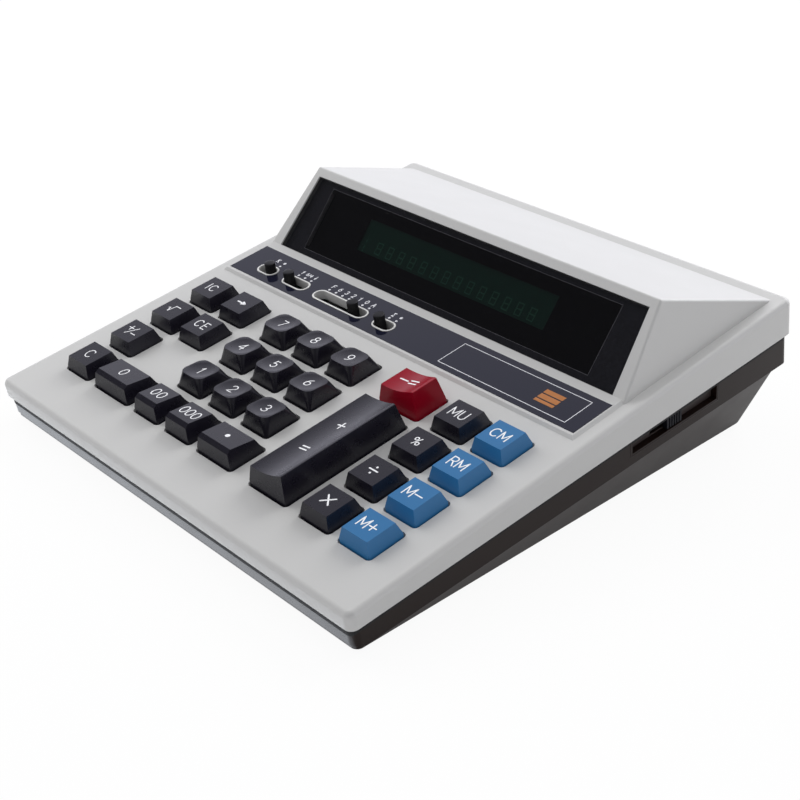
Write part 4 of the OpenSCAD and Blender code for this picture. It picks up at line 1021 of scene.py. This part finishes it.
@dataclass
class SidePocket:
    """The power switch's pocket: the fine raised line round it, and a rough sheet on its floor whose paler colour
    is painted light.
    """

    middle: float = 147.2
    band_front: float = 13.8
    band_slope: float = math.radians(3.6)
    face: float = 99.02
    half: float = 23.3
    low: float = 3.2
    high: float = 13.1
    floor: float = 96.67
    floor_edges: Box = (-22.3, 22.3, 4.3, 10.6)
    slot: Box = (-10.95, 1.85, 4.9, 8.5)

    def frame(self, across: float) -> Matrix:
        """Frame on an upright face of the band: x to the rear, y up, z to the right.

        Args:
            across: how far the face lies from the middle of the case.

        Returns:
            The frame.
        """
        drop = self.band_front + self.middle * math.tan(self.band_slope)
        edge = CASE.deck(0.0, self.middle * MM, -drop * MM) @ Matrix.Rotation(-self.band_slope, 4, "X")
        turn = Matrix(((0, 0, 1, 0), (1, 0, 0, 0), (0, 1, 0, 0), (0, 0, 0, 1)))
        return edge @ Matrix.Translation((across * MM, 0.0, 0.0)) @ turn

    def build(self) -> None:
        """Lay the line on the band's right face and the rough sheet, painted paler as light in the pocket, on the
        pocket's floor.
        """
        line = [(-self.half, self.high), (-self.half, self.low), (self.half, self.low), (self.half, self.high)]
        made = Lettering(MM, 0.5 * MM, thickness=0.3 * MM).lay(
            "pocket_line", [[(y * MM, z * MM) for y, z in line]], self.frame(self.face))
        PALETTE.dress(made, BASE_ABS)
        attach(made, "base")
        rough = flat_sheet("pocket_floor", box_outline(*self.floor_edges), 0.05, self.frame(self.floor), self.slot)
        # The floor sheet's paler brown is painted light reaching into the pocket.
        PALETTE.dress(rough, POCKET_ABS_PAINTED_LIGHT)
        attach(rough, "base")


@dataclass
class SeamShadeStrip:
    """A black strip in the seam between the two halves of the case: painted shade, standing for the shadow in the
    gap.
    """

    left_right: float = 99.1
    front: float = 1.15
    rear: float = 211.55
    corner: float = 3.0
    width: float = 0.04
    below_deck: float = 6.52
    height: float = 2.1
    more_in_front: float = 1.3
    slope: float = math.radians(2.1)

    def build(self) -> None:
        """Model the strip: a rounded frame, drawn out downwards from the upper half's lower edge."""
        made = add_plane("seam_painted_shade")
        middle, reach = (self.rear + self.front) / 2, (self.rear - self.front) / 2
        for vertex in made.data.vertices:
            vertex.co = (vertex.co.x * self.left_right * MM, (middle + vertex.co.y * reach) * MM, 0.0)
        bpy.ops.object.mode_set(mode="EDIT")
        bpy.ops.mesh.select_all(action="SELECT")
        bpy.ops.mesh.bevel(offset=self.corner * MM, segments=8, affect="VERTICES")
        bpy.ops.mesh.select_all(action="SELECT")
        bpy.ops.mesh.inset(thickness=self.width * MM)
        bpy.ops.mesh.delete(type="FACE")
        draw_out(-self.height)
        for vertex in made.data.vertices:
            if vertex.co.z < 0.0:
                near = 1.0 - (vertex.co.y / MM - self.front) / self.corner
                vertex.co.z -= self.more_in_front * MM * max(0.0, near)
        settle(made, CASE.deck(z=-self.below_deck * MM) @ Matrix.Rotation(-self.slope, 4, "X"))
        # The strip's black card colour is painted shade in the seam.
        PALETTE.dress(made, MASK_CARD_AND_SEAM_SHADE)
        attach(made, "base")


# ---------------------------------------------------------------- display


@dataclass
class Display:
    """Behind the smoked window: its printed border, the black mask, and the tube's green face."""

    window: tuple[Point, ...] = ((-89.0, 1.8), (89.0, 1.8), (86.5, 33.2), (-86.5, 33.2))
    clear: Box = (-78.2, 75.2, 4.3, 31.1)
    ledge: Box = (-80.0, 80.0, 3.0, 32.2)
    well: Box = (-78.3, 78.3, 5.8, 29.2)
    window_back: float = -2.25
    mask: Box = (-79.4, 79.4, 2.0, 33.0)
    face: Box = (-54.4, 47.0, 12.5, 26.0)
    mask_n: float = -5.6
    face_n: float = -5.97
    digits: int = 14
    digit_x: Point = (-43.6, 39.2)
    digit_s: float = 16.2
    digit_h: float = 4.6
    digit_shape: float = 0.29
    pause_x: float = -51.5
    pause_h: float = 0.9
    pauses: tuple[float, ...] = (-3.8, -2.0, 0.6)

    def border(self) -> None:
        """Print the border on the back of the window, and the thin line round its clear part."""
        ink = flat_sheet("window_border", self.window, 0.03, CASE.hood_face(n=self.window_back * MM), self.clear)
        PALETTE.dress(ink, WINDOW_INK)
        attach(ink, "base")
        thin = Lettering(MM, 0.25 * MM, thickness=0.03 * MM).lay(
            "window_line", [box_loop(self.clear)], CASE.hood_face(n=(self.window_back + 0.02) * MM))
        PALETTE.dress(thin, WINDOW_LINE)
        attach(thin, "base")

    def lining(self) -> None:
        """Line the ledge that the window sits on with black card, as wide as the tube needs."""
        made = flat_sheet("window_lining", box_outline(*self.ledge), 0.02,
                          CASE.hood_face(n=(self.window_back - 0.04) * MM), self.well)
        PALETTE.dress(made, MASK_CARD_AND_SEAM_SHADE)
        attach(made, "base")

    def tube_face(self) -> None:
        """Model the mask and the tube's green face with its unlit digits."""
        mask = flat_sheet("display_mask", box_outline(*self.mask), 0.2,
                          CASE.hood_face(n=self.mask_n * MM), self.face)
        PALETTE.dress(mask, MASK_CARD_AND_SEAM_SHADE)
        left, right, low, high = self.face
        green = flat_sheet("display_face", box_outline(left - 2, right + 2, low - 1, high + 1), 0.05,
                           CASE.hood_face(n=self.face_n * MM))
        PALETTE.dress(green, FILTER_GREEN)
        first, last = self.digit_x
        xs = [first + (last - first) * i / (self.digits - 1) for i in range(self.digits)]
        w, h = self.digit_h * self.digit_shape, self.digit_h / 2
        segments = [[(-w, h), (w, h)], [(-w, 0.0), (w, 0.0)], [(-w, -h), (w, -h)]]
        segments += [[(side * w, low), (side * w, low + h)] for side in (-1, 1) for low in (-h, 0.0)]
        strokes = [[((x + px) * MM, (self.digit_s + py) * MM) for px, py in line] for x in xs for line in segments]
        strokes += [[(self.pause_x * MM, (self.digit_s + s + end) * MM) for end in (0.0, self.pause_h)]
                    for s in self.pauses]
        lit = Lettering(MM, 0.5 * MM, thickness=0.05 * MM).lay(
            "display_digits", strokes, CASE.hood_face(n=(self.face_n + 0.06) * MM))
        PALETTE.dress(lit, PHOSPHOR)
        for made in (mask, green, lit):
            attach(made, "base")

    def build(self) -> None:
        """Build the display."""
        self.border()
        self.lining()
        self.tube_face()


# ---------------------------------------------------------------- solids that keep their shape


@dataclass
class Solids:
    """The nodes whose solids show as they are, each with its finish."""

    finishes: dict[Finish, tuple[str, ...]] = field(default_factory=lambda: {
        CASE_ABS: ("upper_case",), BASE_ABS: ("lower_case",), STRIP_LACQUER: ("control_strip",),
        WINDOW_ACRYLIC: ("display_window",), TUBE_GLASS: ("display_tube",), FOAM: ("display_pads",),
        BOARD: ("display_board", "key_board", "selector_board", "main_board"),
        # The key frame's near-black is partly painted shade for the gaps round the keys.
        GUIDE_ABS_AND_GAP_SHADE: ("key_frame",), SILICONE: ("dome_sheet",), POWER_ACETAL: ("power_knob",),
        PLATED_STEEL: ("selector_switches", "power_switch", "board_screws", "main_board_screws",
                       "transformer_screws", "case_screws"),
        CHIP_EPOXY: ("main_board_parts", "mains_inlet"), CORE_STEEL: ("transformer",),
        WIRE_PVC: ("mains_wiring",), RIBBON_PVC: ("ribbon_cables",), FOOT_RUBBER: ("rubber_feet",)})

    def build(self) -> None:
        """Dress every solid."""
        for finish, names in self.finishes.items():
            for name in names:
                PALETTE.dress(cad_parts[name], finish)
                LOG.info("solid %s: %s", name, finish.name)


# ---------------------------------------------------------------- studio


@dataclass
class Studio:
    """Pale floor, plain soft light and the camera, all in metres."""

    eye: Vector = field(default_factory=lambda: Vector((0.36839, -0.32877, 0.27371)))
    forward: Vector = field(default_factory=lambda: Vector((-0.6546, 0.5913, -0.4711)))
    lens: float = 67.31
    floor_size: float = 12.0
    floor_white: float = 0.94
    floor_in_gloss: float = 0.35
    card_place: tuple[float, ...] = (-0.101, -0.1055, 0.0005)
    card_size: tuple[float, ...] = (0.4, 0.006, 1.0)
    card_glow: float = 3.7
    room_glow: float = 0.57
    room_colour: tuple[float, ...] = (0.96, 0.96, 1.0, 1.0)
    gloss_colour: tuple[float, ...] = (0.88, 0.88, 1.0, 1.0)
    gloss_from: Point = (-0.75, 0.64)
    gloss_glow: Point = (0.16, 1.85)

    def floor(self) -> None:
        """Lay a wide pale floor that keeps the object's shadow."""
        floor = add_plane("studio_floor", self.floor_size)
        made, tree = blank_material("studio_floor")
        ray = add_node(tree, "LightPath", {})
        matt = add_node(tree, "BsdfDiffuse", {"Color": (0.86, 0.86, 0.86, 1.0)})
        glow = add_node(tree, "Emission", {"Color": (1.0, 1.0, 1.0, 1.0), "Strength": 1.0})
        gloss = add_node(tree, "Math", {"operation": "MULTIPLY", 1: self.floor_in_gloss},
                         {0: ray.outputs["Is Glossy Ray"]})
        share = add_node(tree, "Math", {"operation": "MULTIPLY_ADD", 1: self.floor_white},
                         {0: ray.outputs["Is Camera Ray"], 2: gloss.outputs[0]})
        mix = add_node(tree, "MixShader", {}, {0: share.outputs[0], 1: matt.outputs[0], 2: glow.outputs[0]})
        add_node(tree, "OutputMaterial", {}, {"Surface": mix.outputs[0]})
        floor.data.materials.append(made)

    def card(self) -> None:
        """Lay a narrow white card under the front edge, which only gloss shows: it lights the band's front face."""
        card = add_plane("studio_card", 1.0, self.card_place)
        card.scale = self.card_size
        made, tree = blank_material("studio_card")
        glow = add_node(tree, "Emission", {"Color": (0.88, 0.93, 1.0, 1.0), "Strength": self.card_glow})
        add_node(tree, "OutputMaterial", {}, {"Surface": glow.outputs[0]})
        card.data.materials.append(made)
        card.visible_camera = card.visible_diffuse = card.visible_shadow = False

    def light(self, name: str, place: Sequence[float], size: float, power: float, glossy: bool = True) -> None:
        """Hang a soft square lamp that faces the object.

        Args:
            name: name of the lamp.
            place: where it hangs.
            size: its side in metres.
            power: its power in watts.
            glossy: whether gloss shows it.
        """
        data = bpy.data.lights.new(name, "AREA")
        data.size = size
        data.energy = power
        lamp = bpy.data.objects.new(name, data)
        bpy.context.scene.collection.objects.link(lamp)
        lamp.location = place
        lamp.rotation_euler = (-Vector(place)).to_track_quat("-Z", "Y").to_euler()
        lamp.visible_glossy = glossy

    def world(self) -> None:
        """Light the room evenly, show white to the camera, and let gloss see a bright low rear and a dim front."""
        made = bpy.data.worlds.new("studio_world")
        bpy.context.scene.world = made
        made.use_nodes = True
        (dark, light), (dim, bright) = self.gloss_from, self.gloss_glow
        tree = made.node_tree
        tree.nodes.clear()
        ray = add_node(tree, "LightPath", {})
        where = add_node(tree, "TexCoord", {})
        axes = add_node(tree, "SeparateXYZ", {}, {0: where.outputs["Generated"]})
        low_rear = add_node(tree, "Math", {"operation": "SUBTRACT"}, {0: axes.outputs["Y"], 1: axes.outputs["Z"]})
        room = add_node(tree, "MapRange", {"From Min": dark, "From Max": light, "To Min": dim, "To Max": bright},
                        {"Value": low_rear.outputs[0]})
        plain = add_node(tree, "Mix", {"data_type": "FLOAT", 2: self.room_glow},
                         {0: ray.outputs["Is Glossy Ray"], 3: room.outputs["Result"]})
        level = add_node(tree, "Mix", {"data_type": "FLOAT", 3: 1.0},
                         {0: ray.outputs["Is Camera Ray"], 2: plain.outputs[0]})
        tint = add_node(tree, "Mix", {"data_type": "RGBA", 6: self.room_colour, 7: self.gloss_colour},
                        {0: ray.outputs["Is Glossy Ray"]})
        back = add_node(tree, "Background", {}, {"Color": tint.outputs[2], "Strength": level.outputs[0]})
        add_node(tree, "OutputWorld", {}, {"Surface": back.outputs[0]})

    def camera(self) -> None:
        """Set up the camera."""
        data = bpy.data.cameras.new("camera")
        data.sensor_width = 36.0
        data.lens = self.lens
        data.clip_start = 0.01
        made = bpy.data.objects.new("camera", data)
        bpy.context.scene.collection.objects.link(made)
        made.location = self.eye
        made.rotation_euler = self.forward.to_track_quat("-Z", "Y").to_euler()
        bpy.context.scene.camera = made

    def build(self) -> None:
        """Build the studio."""
        bpy.context.scene.view_settings.view_transform = "Standard"
        self.camera()
        self.floor()
        self.card()
        self.world()
        self.light("lamp_rear", (0.0, 0.98, 0.74), 0.9, 9.3)
        self.light("lamp_left", (-0.9, -0.2, 0.75), 0.8, 7.6, glossy=False)


def main() -> None:
    """Build the studio and dress the calculator, one sub-assembly after another."""
    logging.basicConfig(level=logging.INFO, format="%(message)s")
    for part in (Studio(), Solids(), Keyboard(), ControlStrip(), SidePocket(), SeamShadeStrip(), Display()):
        part.build()
        LOG.info("built %s", type(part).__name__)


if __name__ == "__main__":
    main()
